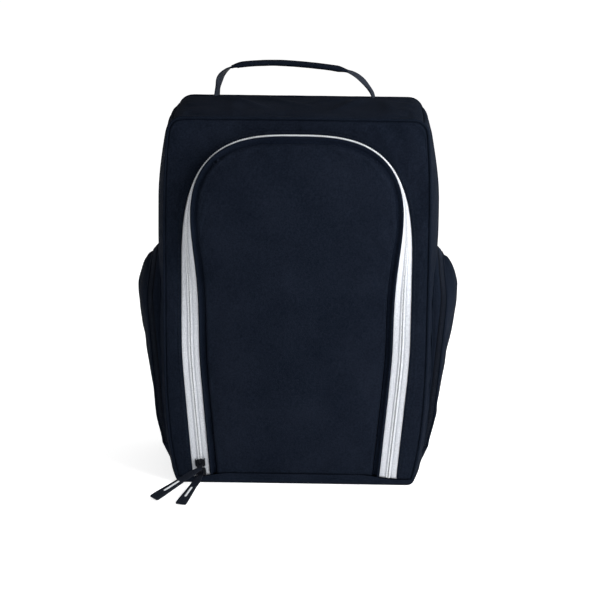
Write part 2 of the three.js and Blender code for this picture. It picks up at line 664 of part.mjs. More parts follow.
function pocketLid(side) {
  const rim = pocketStations.slice(0, POCKET_STATIONS / 2).map((s) => onGusset(s, pocketEdgeX(s.point.z)));
  const grid = (depth) => rim.map(({ x: rimX, y: rimY, z }) => steps(LID_COLUMNS).map((t) => {
    const across = 1 - 2 * t;
    const rise = THREE.MathUtils.smoothstep(z, DOME_START_Z, DOME_FULL_Z) * domeShoulder(z);
    const x = rimX + POCKET_DOME * rise * (1 - across ** 2) - depth;
    return new THREE.Vector3(side * x, rimY * across, z);
  }));
  return slab(grid(0), grid(POCKET_LID));
}

function pocketFloor(side) {
  const z = POCKET_BOTTOM_Z - GAP;
  const grid = (height) => steps(FLOOR_STEPS).map((t) => {
    const place = new THREE.Vector3(0, lerp(-POCKET_HALF, POCKET_HALF, t), height);
    return [sideSurfaceX(place), POCKET_LOW_X].map((x) => place.clone().setX(side * x));
  });
  return slab(grid(z), grid(z - POCKET_SHEET));
}

function addPocketSlider(name, side) {
  const middleX = pocketEdgeX(POCKET_SLIDER_Z) - (LID_ZIP_NEAR + BODY_ZIP_FAR) / 2;
  const place = new THREE.Vector3(side * middleX, POCKET_HALF, POCKET_SLIDER_Z);
  const shape = sliderBody(POCKET_SLIDER_HALF, POCKET_SLIDER_HALF, POCKET_SHEET);
  const body = addNode(`${name}_pocket_slider`, shape, blackMetal);
  body.position.copy(place);
  body.rotation.set(0, side * POCKET_LEAN, Math.PI);

  const hanging = new THREE.Group();
  hanging.position.copy(place).add(new THREE.Vector3(0, -BRIDGE_Y, 0));
  hanging.rotation.y = side * POCKET_LEAN;
  bag.add(hanging);
  hanging.add(addNode(`${name}_pocket_tab`, tabGeometry(), blackMetal));
  const pull = strip(-TAB_LENGTH - GAP, POCKET_PULL_LENGTH, TAB_WIDTH / 2, RIBBON_WIDTH / 2, PULL_THICKNESS);
  hanging.add(addNode(`${name}_pocket_pull`, pull, blackTape));
}

function addPockets() {
  sides.forEach(([name, side]) => {
    const gusset = pocketStrip(side, sideSurfaceX, edgeLess(BODY_ZIP_NEAR + GAP));
    addNode(`${name}_pocket_gusset`, gusset, navyFabric);
    addNode(`${name}_pocket_floor`, pocketFloor(side), navyFabric);
    const bodyZip = pocketStrip(side, edgeLess(BODY_ZIP_NEAR), edgeLess(BODY_ZIP_FAR));
    addNode(`${name}_pocket_body_zip`, bodyZip, blackTape);
    const lidZip = pocketStrip(side, edgeLess(LID_ZIP_NEAR), edgeLess(LID_ZIP_FAR));
    addNode(`${name}_pocket_lid_zip`, lidZip, blackTape);
    addNode(`${name}_pocket_lid`, pocketLid(side), navyFabric);
    addPocketSlider(name, side);
  });
}

// ---- The handle ----

const STRAP_BASE_Z = HEIGHT + TOP_CROWN * fullness(HANDLE_Y - STRAP_HALF_WIDTH) + GAP;
const FOLD_HEIGHT_Z = STRAP_BASE_Z + FOOT_HEIGHT;
const handleCurve = new THREE.CatmullRomCurve3(
  HANDLE_ROUTE.map(([x, rise]) => new THREE.Vector3(x, HANDLE_Y, STRAP_BASE_Z + rise)),
);

// Where along the handle it reaches a height, between low (below it) and high (above it), found by halving.
function handleAtHeight(z, low, high) {
  let [below, above] = [low, high];
  for (let k = 0; k < HALVINGS; k += 1) {
    const middle = (below + above) / 2;
    if (handleCurve.getPointAt(middle).z < z) {
      below = middle;
    } else {
      above = middle;
    }
  }
  return below;
}

function handleFrame(t) {
  const point = handleCurve.getPointAt(t);
  const normal = new THREE.Vector3().crossVectors(handleCurve.getTangentAt(t), FORWARD).normalize();
  return { point, normal };
}

function strapPiece(from, to) {
  const grid = (offset) => steps(STRAP_STEPS).map((t) => {
    const { point, normal } = handleFrame(lerp(from, to, t));
    const half = THREE.MathUtils.clamp(Math.abs(point.z - FOLD_HEIGHT_Z), STRAP_NECK, STRAP_HALF_WIDTH);
    const middle = point.clone().addScaledVector(normal, offset);
    return [-half, half].map((y) => middle.clone().setY(HANDLE_Y + y));
  });
  return slab(grid(STRAP_THICKNESS / 2), grid(-STRAP_THICKNESS / 2));
}

function sleeve() {
  const sectionAngles = steps(SLEEVE_SIDES).slice(1).map((t) => t * Math.PI * 2);
  const rings = steps(SLEEVE_STEPS).map((t) => {
    const { point, normal } = handleFrame(lerp(SLEEVE_START, SLEEVE_END, t));
    return sectionAngles.map((angle) => {
      const outward = normal.clone().multiplyScalar(Math.cos(angle) * SLEEVE_THICKNESS / 2);
      return point.clone().add(outward).add(new THREE.Vector3(0, Math.sin(angle) * SLEEVE_HALF_WIDTH, 0));
    });
  });
  return loft(rings);
}

function addHandle() {
  const top = (SLEEVE_START + SLEEVE_END) / 2;
  const below = FOLD_HEIGHT_Z - STRAP_NECK;
  const above = FOLD_HEIGHT_Z + STRAP_NECK;
  const endGap = GAP / handleCurve.getLength();
  addNode('left_handle_foot', strapPiece(0, handleAtHeight(below, 0, top)), webbing);
  addNode('left_handle_strap', strapPiece(handleAtHeight(above, 0, top), SLEEVE_START - endGap), webbing);
  addNode('handle_sleeve', sleeve(), webbing);
  addNode('right_handle_strap', strapPiece(SLEEVE_END + endGap, handleAtHeight(above, 1, top)), webbing);
  addNode('right_handle_foot', strapPiece(handleAtHeight(below, 1, top), 1), webbing);

  const { halfDepth, thickness, overhang } = REINFORCEMENT;
  const underside = HEIGHT + TOP_CROWN * fullness(HANDLE_Y + halfDepth) - SHEET - GAP;
  const [leftX, rightX] = [HANDLE_ROUTE[0][0], HANDLE_ROUTE[HANDLE_ROUTE.length - 1][0]];
  const plan = [leftX - overhang, rightX + overhang, HANDLE_Y - halfDepth, HANDLE_Y + halfDepth];
  addNode('handle_reinforcement', box(...plan, underside - thickness, underside), webbing);
}

addBase();
addBodyPanels();
addPiping('front_piping', FRONT_Y + PIPING_RADIUS);
addPiping('rear_piping', BACK_Y - PIPING_RADIUS);
addMainZip();
addFlap();
addMainSliders();
addPockets();
addHandle();

export default bag;
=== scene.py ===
"""A golf shoe bag: padded navy fabric, a white zip round an arched flap, side pockets and a handle."""
import json
import math

import bpy
import numpy as np
from mathutils import Matrix, Vector, noise


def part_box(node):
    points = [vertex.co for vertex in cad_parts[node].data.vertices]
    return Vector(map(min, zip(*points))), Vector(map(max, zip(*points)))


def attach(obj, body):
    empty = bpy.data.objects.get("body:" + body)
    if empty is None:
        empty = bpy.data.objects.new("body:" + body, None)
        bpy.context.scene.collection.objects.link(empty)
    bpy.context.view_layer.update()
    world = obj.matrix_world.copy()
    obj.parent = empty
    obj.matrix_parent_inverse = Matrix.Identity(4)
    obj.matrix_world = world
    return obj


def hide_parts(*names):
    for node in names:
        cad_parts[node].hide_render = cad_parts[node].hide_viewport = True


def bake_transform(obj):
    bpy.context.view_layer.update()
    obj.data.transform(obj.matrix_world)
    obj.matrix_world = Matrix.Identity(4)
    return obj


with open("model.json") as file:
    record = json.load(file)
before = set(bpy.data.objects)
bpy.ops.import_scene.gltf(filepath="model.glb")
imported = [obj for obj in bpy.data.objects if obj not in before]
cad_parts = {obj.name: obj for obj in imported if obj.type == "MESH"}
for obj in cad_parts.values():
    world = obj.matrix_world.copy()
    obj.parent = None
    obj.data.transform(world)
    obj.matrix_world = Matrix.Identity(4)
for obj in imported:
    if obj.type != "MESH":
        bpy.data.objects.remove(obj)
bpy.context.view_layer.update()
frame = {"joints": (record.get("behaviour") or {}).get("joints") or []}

# ---- Driving dimensions, in metres, in the CAD model's frame ----
SIDES = (("left", -1), ("right", 1))
FRONT_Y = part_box("front_surround")[0].y
BACK_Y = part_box("back_panel")[1].y
PANEL_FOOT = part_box("left_side_panel")[0].z
PANEL_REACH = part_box("left_side_panel")[1].y
HEIGHT = 0.340
HALF_WIDTH = 0.1202
WIDEST_Z = 0.190
END_TAPER = 0.013
TAPER_POWER = 4
TOP_CORNER = 0.013
SIDE_BULGE = 0.009
SIDE_BULGE_AT_TOP = 0.35  # the share of it that is left at the top
SIDE_TAPER_START_Z = 0.26
SIDE_FOLDS = 0.0011
TOP_CROWN = 0.0025
TOP_SAG = 0.0016  # between the handle's feet
TOP_WAVES = 0.0006
HANDLE_PULL = 0.0013  # of each of the handle's feet on the top
HANDLE_PULL_REACH = 0.016
SEAM_TURN = math.radians(45)  # where on the rounded corner the side meets the top
SHEET = 0.0022
BACK_SWELL = 0.0045  # of the back panel's middle
BACK_WAVES = 0.0009
BACK_EASE = 0.02  # how far from its edge the waves reach their full height
WALL_STEPS = 40  # along the outline's side
CORNER_STEPS = 10  # and round its top corner
SEAM_EASE = 0.012  # how far from a seam the soft folds reach their full height
PIPING_RADIUS = 0.0013
PIPING_SWELL = 0.10  # the share by which the piping's radius comes and goes
PIPING_STAND = 0.0015  # of the piping's middle behind the face that it edges
FACE_INSET = PIPING_RADIUS + 0.0004  # of the front and back panels' edges within the outline
SEAM_BINDING_RADIUS = 0.0018  # the bound seam allowance inside the bag, behind the piping
SEAM_BINDING_INSET = 0.0024
SEAM_OVERLAP = 0.96  # the top panel starts this far round the corner, just under the side's edge
REAR_LIFT = 0.0018  # of the top's back edge above its front edge
REAR_LIFT_START_Z = 0.24
CURL = 0.0022  # radius with which a panel's edge dives into its seam

ZIP_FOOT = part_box("outer_zip_tape")[0].z
ZIP_WIDTH = 0.0155
LEG_FOOT_X = 0.0939
LEG_KNEE_Z = 0.123
LEG_SOFTNESS = 0.016
ARCH_HALF = 0.1045
ARCH_SPRING_Z = 0.200
ARCH_RISE = 0.1260
ARCH_POWER = 3
TURN_START_Z = 0.115
TURN_END_Z = 0.325
TURN_MAX = math.radians(92)
TAPE_FACE = -0.0005  # how far behind the zip's own surface the tape's face lies
TAPE_THICKNESS = 0.0005
TAPE_TUCK = 0.002  # how far the tape runs on under the fabric beside it
COIL_STEPS = 10  # round each turn of a coil
MAIN_COIL = {  # offset is from the middle of the zip to a coil's middle, and height is off the zip's face
    "wire": 0.00029, "pitch": 0.00125, "reach": 0.00072, "rise": 0.0005,
    "offset": 0.00092, "height": -0.00018,
}
POCKET_ZIP_COIL = {
    "wire": 0.00038, "pitch": 0.0019, "reach": 0.0012, "rise": 0.0004,
    "offset": 0.0008, "height": 0.00002,
}
COIL_SEAM = {"across": 0.0012, "height": 0.0004, "pitch": 0.0021, "thread": 0.0003}
BAND_WIDTH = 0.0062
BAND_THICKNESS = 0.002
BAND_SHEET = 0.0011
GAP = 0.0003
FLAP_BULGE = 0.004
FLAP_DOME = 0.075  # how far from its seam the flap reaches its full bulge
FLAP_WAVES = 0.0007
FLAP_SHEET = 0.0026
LINING_SHEET = 0.0005
LINING_WAVES = 0.0006
LINING_DEPTH = 0.0046  # of the flap's lining behind its face
SURROUND_SWELL = 0.0008
SURROUND_FOLDS = 0.0007  # upright, beside the zip's legs
SURROUND_CORNER_FOLDS = 0.0026  # slanting, beside the arch
HEM_RISE = 0.0006
HEM_WIDTH = 0.0062
HEM_FULL_WIDTH = 0.0045  # within which the hem has its full height
HEM_STITCH_INSET = 0.0026

SLIDER_LENGTH = 0.0074
SLIDER_HALF = 0.0052
PLATE = 0.0012
CLEARANCE = 0.00035
BRIDGE_HEIGHT = 0.0036
BRIDGE_WIRE = 0.00052
POST_HALF_WIDTH = 0.0007
RAIL_HALF_WIDTH = 0.00055
BRIDGE_SPREAD = 1.5  # the bridge is this much wider than it is thick
BRIDGE_STAND = CLEARANCE + PLATE + BRIDGE_HEIGHT / 2 - 0.0002  # of the tab's pivot from the coil's face
TAB_LENGTH = 0.008
TAB_WIDTH = 0.005
TAB_THICKNESS = 0.0011
RIBBON_LENGTH = 0.022
RIBBON_WIDTH = 0.0074
GRIP_LENGTH = 0.036
GRIP_WIDTH = 0.010
PULL_THICKNESS = 0.0018
PULL_YAW = {"upper": math.radians(40), "lower": math.radians(14)}
LOWEST_TIP = 0.0011

BASE_EDGE = 0.0045
BASE_PROUD = 0.0013  # of the base's rim from the front and back faces
BASE_LAP = 0.0008  # of the base over the panels' feet
BASE_FLAP_RISE = 0.0040  # how much higher it laps under the flap
BASE_FOLD_IN = 0.0016
BASE_BULGE = 0.005  # of the base's sides where they meet the ground
BASE_CORNER = 0.0055

POCKET_HALF = 0.052
POCKET_BOTTOM = 0.032
POCKET_SPRING = 0.150
POCKET_RISE = 0.062
POCKET_POWER = 2.6
POCKET_LOW_X = 0.1274  # how far out the lid's rim is at the bottom
POCKET_HIGH_X = 0.140  # and from its fullest height up
POCKET_FULL_Z = 0.175
POCKET_SLOPE = 1.1  # how steeply the gusset's top falls on its way out
POCKET_DOME = 0.009
DOME_START_Z = 0.060
DOME_FULL_Z = 0.172
LID_TOP_Z = 0.2055
POCKET_SHOULDER = 0.0030  # how far the lid's rim draws in towards the pocket's top
POCKET_SHOULDER_START_Z = 0.160
POCKET_FOOT_DRAW = 0.0035  # and at its foot
POCKET_FOOT_HEIGHT = 0.03  # over which the rim comes out again
POCKET_ZIP_MIDDLE = 0.00425  # from the lid's rim in to the middle of its zip
POCKET_TAPE = 0.0022
POCKET_TAPE_SHEET = 0.0004
POCKET_SHEET = 0.0012
POCKET_CORD = 0.0009
HINGE_CORD = 0.0007
LID_SHEET = 0.0014
POCKET_PULL_LENGTH = 0.026
POCKET_TUCK = 0.032  # how far below the lid's hinge the pocket's bottom meets the side

HANDLE_Y = 0.058
HANDLE_BASE_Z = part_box("left_handle_foot")[0].z
HANDLE_FOLD_Z = HANDLE_BASE_Z + 0.010
HANDLE_ROUTE_UNIT = 0.001
HANDLE_ROUTE = [  # along the top and above it
    (-80, 0), (-78.5, 12), (-74.5, 23), (-62, 31), (-33, 34), (-5, 33.4),
    (30, 30), (47, 26), (58, 19), (67, 8), (70, 0),
]
SLEEVE_START = 0.19
SLEEVE_END = 0.79
STRAP_HALF = 0.008
SLEEVE_HALF = 0.0085
SLEEVE_THICKNESS = 0.0054

FORWARD = Vector((0, -1, 0))


# ---- Numbers and lines ----

def lerp(a, b, t):
    return a + (b - a) * t


def clamp(value, low=0.0, high=1.0):
    return min(max(value, low), high)


def smoothstep(value, low, high):
    t = clamp((value - low) / (high - low))
    return t * t * (3 - 2 * t)


def even(count):
    return [k / count for k in range(count + 1)]


def clustered(count):
    """Values from 0 to 1 that crowd towards both ends, where a panel's seams need them."""
    return [(1 - math.cos(math.pi * k / count)) / 2 for k in range(count + 1)]


def ripple(x, y, seed, size):
    """A smooth random number from about -1 to 1 that changes over that size. The seed picks the pattern."""
    return noise.noise(Vector((x / size, y / size, seed)))


def curl(distance, radius=CURL):
    """How deep a panel's edge dives into its seam, at a distance in from the edge."""
    if distance >= radius:
        return 0.0
    return radius - math.sqrt(max(radius ** 2 - (radius - distance) ** 2, 0))


def pucker(run, distance, seed, height=0.0005):
    """The small gathers beside a seam, at a place along it and a distance in from it."""
    return height * math.exp(-distance / 0.006) * ripple(run, 0, seed, 0.006)


def round_angles(count):
    return [2 * math.pi * k / count for k in range(count)]


def superellipse(half_a, half_b, power, angle):
    c, s = math.cos(angle), math.sin(angle)
    reach = 2 / power
    return math.copysign(half_a * abs(c) ** reach, c), math.copysign(half_b * abs(s) ** reach, s)


def rounded_outline(half_a, half_b, power, count):
    """A closed outline between an oval and a rectangle: the higher the power, the squarer it is."""
    return [superellipse(half_a, half_b, power, angle) for angle in round_angles(count)]


def nearness(points, axes):
    """A function that gives a place's distance from the nearest of some points, in the plane of two axes."""
    border = np.asarray([tuple(p) for p in points])[:, axes]

    def distance(p):
        gaps = border - np.array([p[axis] for axis in axes])
        return float(np.sqrt((gaps ** 2).sum(axis=1)).min())

    return distance


def spline(points, samples=16):
    """Close points on a smooth line through a few points (Catmull-Rom)."""
    points = [Vector(p) for p in points]
    ends = [2 * points[0] - points[1], *points, 2 * points[-1] - points[-2]]
    line = []
    for a, b, c, d in zip(ends, ends[1:], ends[2:], ends[3:]):
        for k in range(samples):
            t = k / samples
            bend = (2 * a - 5 * b + 4 * c - d) * t * t + (3 * b - a - 3 * c + d) * t ** 3
            line.append((2 * b + (c - a) * t + bend) / 2)
    line.append(points[-1])
    return line


class Line:
    """A line through close points, read by the distance along it."""

    def __init__(self, points):
        self.points = np.array([tuple(p) for p in points], float)
        steps = np.linalg.norm(np.diff(self.points, axis=0), axis=1)
        self.distances = np.concatenate([[0], np.cumsum(steps)])
        self.length = float(self.distances[-1])

    def at(self, s):
        return Vector([np.interp(s, self.distances, self.points[:, axis]) for axis in range(3)])

    def tangent(self, s, reach=0.001):
        ahead = self.at(min(s + reach, self.length))
        return (ahead - self.at(max(s - reach, 0))).normalized()


# ---- Meshes ----

def mesh_piece(name, points, faces, uvs, materials):
    mesh = bpy.data.meshes.new(name)
    mesh.from_pydata([tuple(p) for p in points], [], faces)
    layer = mesh.uv_layers.new(name="UVMap")
    layer.data.foreach_set("uv", np.asarray(uvs, np.float32).ravel())
    for material in materials:
        mesh.materials.append(material)
    mesh.shade_smooth()
    piece = bpy.data.objects.new(name, mesh)
    bpy.context.scene.collection.objects.link(piece)
    return piece


def grid_piece(name, grid, materials, outward, wrap=False, cap=False):
    """A surface through rows of points. Its UVs run along the cloth, in metres.

    outward is a direction that its outer side faces, or None where the rows are rings round a tube."""
    grid = np.asarray([[tuple(p) for p in row] for row in grid], float)
    rows, columns = grid.shape[:2]
    closed = np.concatenate([grid, grid[:, :1]], axis=1)
    across = np.concatenate([[0], np.cumsum(np.linalg.norm(np.diff(closed, axis=1), axis=2).mean(axis=0))])
    along = np.concatenate([[0], np.cumsum(np.linalg.norm(np.diff(grid, axis=0), axis=2).mean(axis=1))])
    i, j = rows // 2 - (rows > 2), columns // 2 - (columns > 2)
    corner = grid[i, j]
    normal = np.cross(grid[i, j + 1] - corner, grid[i + 1, j] - corner)
    wanted = corner - grid[i].mean(axis=0) if outward is None else np.array(tuple(outward))
    flipped = float(normal @ wanted) < 0
    faces, uvs = [], []
    for r in range(rows - 1):
        for c in range(columns if wrap else columns - 1):
            corners = [(r, c), (r, c + 1), (r + 1, c + 1), (r + 1, c)]
            if flipped:
                corners.reverse()
            faces.append([a * columns + b % columns for a, b in corners])
            uvs.extend((across[b], along[a]) for a, b in corners)
    if cap:
        for row in (0, rows - 1):
            ring = [row * columns + c for c in range(columns)]
            if (row == 0) != flipped:
                ring.reverse()
            faces.append(ring)
            uvs.extend((across[k % columns], along[row]) for k in ring)
    return mesh_piece(name, grid.reshape(-1, 3), faces, uvs, materials)


def tube_piece(name, rings, material):
    return grid_piece(name, rings, [material], None, wrap=True, cap=True)


def tube_faces(ring_count, size):
    """The faces of a closed tube through that many rings of that many points."""
    faces = []
    for first in range(0, (ring_count - 1) * size, size):
        for k in range(size):
            n = (k + 1) % size
            faces.append([first + k, first + n, first + size + n, first + size + k])
    faces.append([size - 1 - k for k in range(size)])
    faces.append([(ring_count - 1) * size + k for k in range(size)])
    return faces


def thicken(piece, thickness, lined=False):
    """Gives a surface its thickness, inwards, with the second material inside if it is lined."""
    solid = piece.modifiers.new("thickness", "SOLIDIFY")
    solid.thickness = thickness
    solid.offset = -1
    solid.material_offset = 1 if lined else 0
    return piece


def smooth(piece, levels=1):
    surface = piece.modifiers.new("smooth", "SUBSURF")
    surface.levels = levels
    surface.render_levels = levels
    return piece


def tube_rings(line, radius, sides, count, start_side=None):
    """Rings round a line, as points, for a cord or wire of that radius."""
    rings = []
    side = start_side
    for t in even(count):
        s = t * line.length
        tangent = line.tangent(s)
        if side is None:
            side = tangent.orthogonal()
        side = (side - tangent * side.dot(tangent)).normalized()
        other = tangent.cross(side)
        centre = line.at(s)
        spokes = [side * math.cos(a) + other * math.sin(a) for a in round_angles(sides)]
        rings.append([centre + radius * spoke for spoke in spokes])
    return rings


def joined(name, groups, materials):
    """One piece from several (points, faces) groups."""
    points, faces = [], []
    for group_points, group_faces in groups:
        first = len(points)
        points.extend(group_points)
        faces.extend([first + k for k in face] for face in group_faces)
    uvs = [(points[k][0] + points[k][1], points[k][2]) for face in faces for k in face]
    return mesh_piece(name, points, faces, uvs, materials)


def stitch(centre, tangent, normal, length, radius, sides=6):
    """One stitch: a short thread that rises from the cloth and dives back into it."""
    across = tangent.cross(normal).normalized()
    points = []
    profile = [(-1, 0.25, -0.8), (-0.6, 1, 0.1), (0, 1, 0.45), (0.6, 1, 0.1), (1, 0.25, -0.8)]
    for run, width, lift in profile:
        middle = centre + tangent * (run * length / 2) + normal * (lift * radius)
        for angle in round_angles(sides):
            spread = across * math.cos(angle) + normal * math.sin(angle)
            points.append(middle + spread * (width * radius))
    return points, tube_faces(len(profile), sides)


def stitch_row(name, place, length, material, pitch=0.0032, thread=0.00024):
    """A row of stitches. place(s) gives the point on the cloth and its normal at a distance along the row."""
    groups = []
    for k in range(int(length / pitch)):
        s = (k + 0.5) * pitch
        point, normal = place(s)
        ahead = place(min(s + 0.0005, length))[0] - place(max(s - 0.0005, 0))[0]
        groups.append(stitch(point, ahead.normalized(), normal, pitch * 0.76, thread))
    return joined(name, groups, [material])


def settle(piece, held, pressure, slack, cap, frames=20):
    """Lets the cloth between the held points settle under a little pressure, and keeps the result.

    slack is how much longer the cloth is than the shape it was laid out on. No point moves more than cap."""
    vertices = piece.data.vertices
    rest = np.array([v.co[:] for v in vertices])
    group = piece.vertex_groups.new(name="held")
    group.add([v.index for v in vertices if held(v.co)], 1.0, "REPLACE")
    cloth = piece.modifiers.new("cloth", "CLOTH")
    settings = cloth.settings
    settings.quality = 5
    settings.mass = 0.003
    settings.tension_stiffness = 8
    settings.compression_stiffness = 8
    settings.shear_stiffness = 4
    settings.bending_stiffness = 0.05
    settings.air_damping = 6
    settings.vertex_group_mass = group.name
    settings.use_pressure = True
    settings.uniform_pressure_force = pressure
    settings.shrink_min = -slack
    settings.effector_weights.gravity = 0
    cloth.collision_settings.use_collision = False
    cloth.point_cache.frame_start = 1
    cloth.point_cache.frame_end = frames
    scene = bpy.context.scene
    for number in range(1, frames + 1):
        scene.frame_set(number)
    evaluated = piece.evaluated_get(bpy.context.evaluated_depsgraph_get())
    moved = np.array([v.co[:] for v in evaluated.data.vertices]) - rest
    distance = np.linalg.norm(moved, axis=1, keepdims=True)
    print("settled", piece.name, "by up to", round(float(distance.max()) * 1000, 2), "mm")
    moved *= cap * np.tanh(distance / cap) / np.maximum(distance, 1e-9)
    piece.modifiers.remove(cloth)
    piece.vertex_groups.remove(group)
    scene.frame_set(1)
    vertices.foreach_set("co", (rest + moved).ravel())
    piece.data.update()
    return piece


# ---- Materials ----

class Recipe:
    """A material's nodes, with short calls for the ones used here. Lengths are in metres."""

    def __init__(self, name, roughness, specular=0.25, sheen=0.0):
        self.material = bpy.data.materials.new(name)
        self.material.use_nodes = True
        self.nodes = self.material.node_tree.nodes
        self.links = self.material.node_tree.links
        self.shader = self.nodes["Principled BSDF"]
        self.shader.inputs["Roughness"].default_value = roughness
        self.shader.inputs["Specular IOR Level"].default_value = specular
        self.shader.inputs["Sheen Weight"].default_value = sheen

    def connect(self, value, socket):
        if isinstance(value, (int, float)):
            socket.default_value = value
        else:
            self.links.new(value, socket)

    def math(self, operation, a, b=0.0):
        node = self.nodes.new("ShaderNodeMath")
        node.operation = operation
        self.connect(a, node.inputs[0])
        self.connect(b, node.inputs[1])
        return node.outputs[0]

    def cloth_axes(self):
        """The two directions of the cloth, from the mesh's UVs."""
        uv = self.nodes.new("ShaderNodeUVMap")
        split = self.nodes.new("ShaderNodeSeparateXYZ")
        self.links.new(uv.outputs[0], split.inputs[0])
        return split.outputs[0], split.outputs[1]

    def wave(self, axis, pitch):
        return self.math("SINE", self.math("MULTIPLY", axis, 2 * math.pi / pitch))

    def plain_weave(self, pitch):
        """The checkered rise and fall of a plain weave, from 0 to 1."""
        u, v = self.cloth_axes()
        crossing = self.math("MULTIPLY", self.wave(u, pitch), self.wave(v, pitch))
        return self.math("ADD", self.math("MULTIPLY", crossing, 0.5), 0.5)

    def noise(self, size, detail=2.0):
        position = self.nodes.new("ShaderNodeTexCoord")
        node = self.nodes.new("ShaderNodeTexNoise")
        node.inputs["Scale"].default_value = 1 / size
        node.inputs["Detail"].default_value = detail
        self.links.new(position.outputs["Object"], node.inputs["Vector"])
        return node.outputs["Fac"]

    def spread(self, value, low, high):
        """value from low to high, stretched to 0 to 1."""
        node = self.nodes.new("ShaderNodeMapRange")
        node.inputs["From Min"].default_value = low
        node.inputs["From Max"].default_value = high
        self.links.new(value, node.inputs["Value"])
        return node.outputs[0]

    def colour(self, factor, dark, light):
        ramp = self.nodes.new("ShaderNodeValToRGB")
        ramp.color_ramp.elements[0].color = (*dark, 1)
        ramp.color_ramp.elements[1].color = (*light, 1)
        self.links.new(factor, ramp.inputs[0])
        self.links.new(ramp.outputs[0], self.shader.inputs["Base Color"])

    def bump(self, height, distance, strength=1.0):
        node = self.nodes.new("ShaderNodeBump")
        node.inputs["Distance"].default_value = distance
        node.inputs["Strength"].default_value = strength
        self.links.new(height, node.inputs["Height"])
        self.links.new(node.outputs[0], self.shader.inputs["Normal"])


def woven(name, dark, light, pitch, roughness, sheen, depth=0.00012, specular=0.015):
    """Plain-woven cloth: the threads' relief, slubs, and soft patches of lighter and darker dye."""
    cloth = Recipe(name, roughness, specular=specular, sheen=sheen)
    weave = cloth.plain_weave(pitch)
    slubs = cloth.noise(pitch * 1.6, 3)
    patches = cloth.noise(0.045, 3)
    height = cloth.math("ADD", weave, cloth.math("MULTIPLY", slubs, 0.9))
    tone = cloth.math("ADD", cloth.math("MULTIPLY", weave, 0.2), cloth.math("MULTIPLY", slubs, 0.9))
    tone = cloth.math("ADD", tone, cloth.math("MULTIPLY", patches, 0.5))
    cloth.colour(cloth.spread(tone, 0.55, 1.05), dark, light)
    cloth.bump(height, depth)
    return cloth.material


def ribbed(name, dark, light, rib, cross, roughness, depth, specular=0.1):
    """Webbing or tape: ribs along its length, with finer threads that cross them."""
    tape = Recipe(name, roughness, specular=specular)
    u, v = tape.cloth_axes()
    ribs = tape.math("ABSOLUTE", tape.wave(u, rib * 2))
    crossing = tape.wave(tape.math("ADD", v, tape.math("MULTIPLY", u, 0.5)), cross)
    height = tape.math("ADD", ribs, tape.math("MULTIPLY", crossing, 0.35))
    speckle = tape.noise(0.0012, 2)
    tone = tape.math("ADD", tape.math("MULTIPLY", height, 0.35), speckle)
    tape.colour(tape.spread(tone, 0.3, 1.0), dark, light)
    tape.bump(height, depth)
    return tape.material


def plastic(name, dark, light, roughness, grain, depth, specular=0.4):
    part = Recipe(name, roughness, specular=specular)
    speckle = part.noise(grain, 3)
    part.colour(part.spread(speckle, 0.3, 0.7), dark, light)
    part.bump(speckle, depth)
    return part.material


def worn_enamel(name, enamel, bare, roughness=0.36):
    """Black enamel on metal, rubbed through to the bare metal along its edges."""
    part = Recipe(name, roughness, specular=0.1)
    shape = part.nodes.new("ShaderNodeNewGeometry")
    edges = part.spread(shape.outputs["Pointiness"], 0.56, 0.68)
    scratches = part.noise(0.0009, 4)
    wear = part.math("MULTIPLY", edges, part.spread(scratches, 0.42, 0.6))
    part.colour(wear, enamel, bare)
    part.connect(wear, part.shader.inputs["Metallic"])
    part.bump(scratches, 0.00002)
    return part.material


FABRIC = woven("fabric", (0.0026, 0.0044, 0.0086), (0.0080, 0.0110, 0.0188), 0.0009, 0.9, 0.0)
# The binding is darker than the fabric as painted shade. It makes the groove between the flap's band and its
# panel read as deep shadow, and every other binding takes the same darker colour.
BINDING_DARKENED_FOR_SHADE = woven("binding", (0.0020, 0.0036, 0.0078), (0.0062, 0.0092, 0.0168), 0.0007, 0.86, 0.0)
PIPING = woven("piping", (0.0024, 0.0040, 0.0080), (0.0070, 0.0102, 0.0178), 0.0006, 0.82, 0.0)
LINING = woven("lining", (0.020, 0.023, 0.030), (0.036, 0.040, 0.050), 0.0005, 0.55, 0.1, 0.00005)
ZIP_TAPE = ribbed("zip_tape", (0.38, 0.40, 0.44), (0.61, 0.63, 0.67), 0.0008, 0.0011, 0.8, 0.00018)
ZIP_COIL = plastic("zip_coil", (0.58, 0.60, 0.63), (0.74, 0.76, 0.79), 0.35, 0.002, 0.00001)
ZIP_THREAD = plastic("zip_thread", (0.66, 0.68, 0.71), (0.80, 0.82, 0.84), 0.7, 0.0006, 0.00003, 0.2)
# The pocket zip's tape is its own dark navy, made darker still as painted shade so that it reads as dark
# grooves beside the coil's teeth.
POCKET_TAPE_DARKENED_FOR_SHADE = ribbed(
    "pocket_zip", (0.0012, 0.0020, 0.0045), (0.0040, 0.0058, 0.0105),
    0.0007, 0.001, 0.75, 0.00012,
)
POCKET_COIL = plastic(
    "pocket_zip_coil", (0.006, 0.009, 0.016), (0.013, 0.017, 0.027),
    0.6, 0.002, 0.00001, 0.06,
)
THREAD = plastic("thread", (0.0035, 0.0055, 0.0105), (0.0085, 0.0120, 0.0205), 0.7, 0.0005, 0.00003, 0.08)
ENAMEL = worn_enamel("slider_metal", (0.0022, 0.0032, 0.0060), (0.05, 0.052, 0.06))
RIBBON = ribbed(
    "pull_ribbon", (0.0022, 0.0036, 0.0075), (0.0070, 0.0095, 0.0165),
    0.0007, 0.001, 0.75, 0.0001,
)
RUBBER = plastic(
    "pull_rubber", (0.0036, 0.0052, 0.0095), (0.0085, 0.0115, 0.0180),
    0.65, 0.0008, 0.00003, 0.1,
)
PALE_PRINT = plastic("pull_bar", (0.55, 0.57, 0.60), (0.72, 0.74, 0.76), 0.6, 0.001, 0.00001)
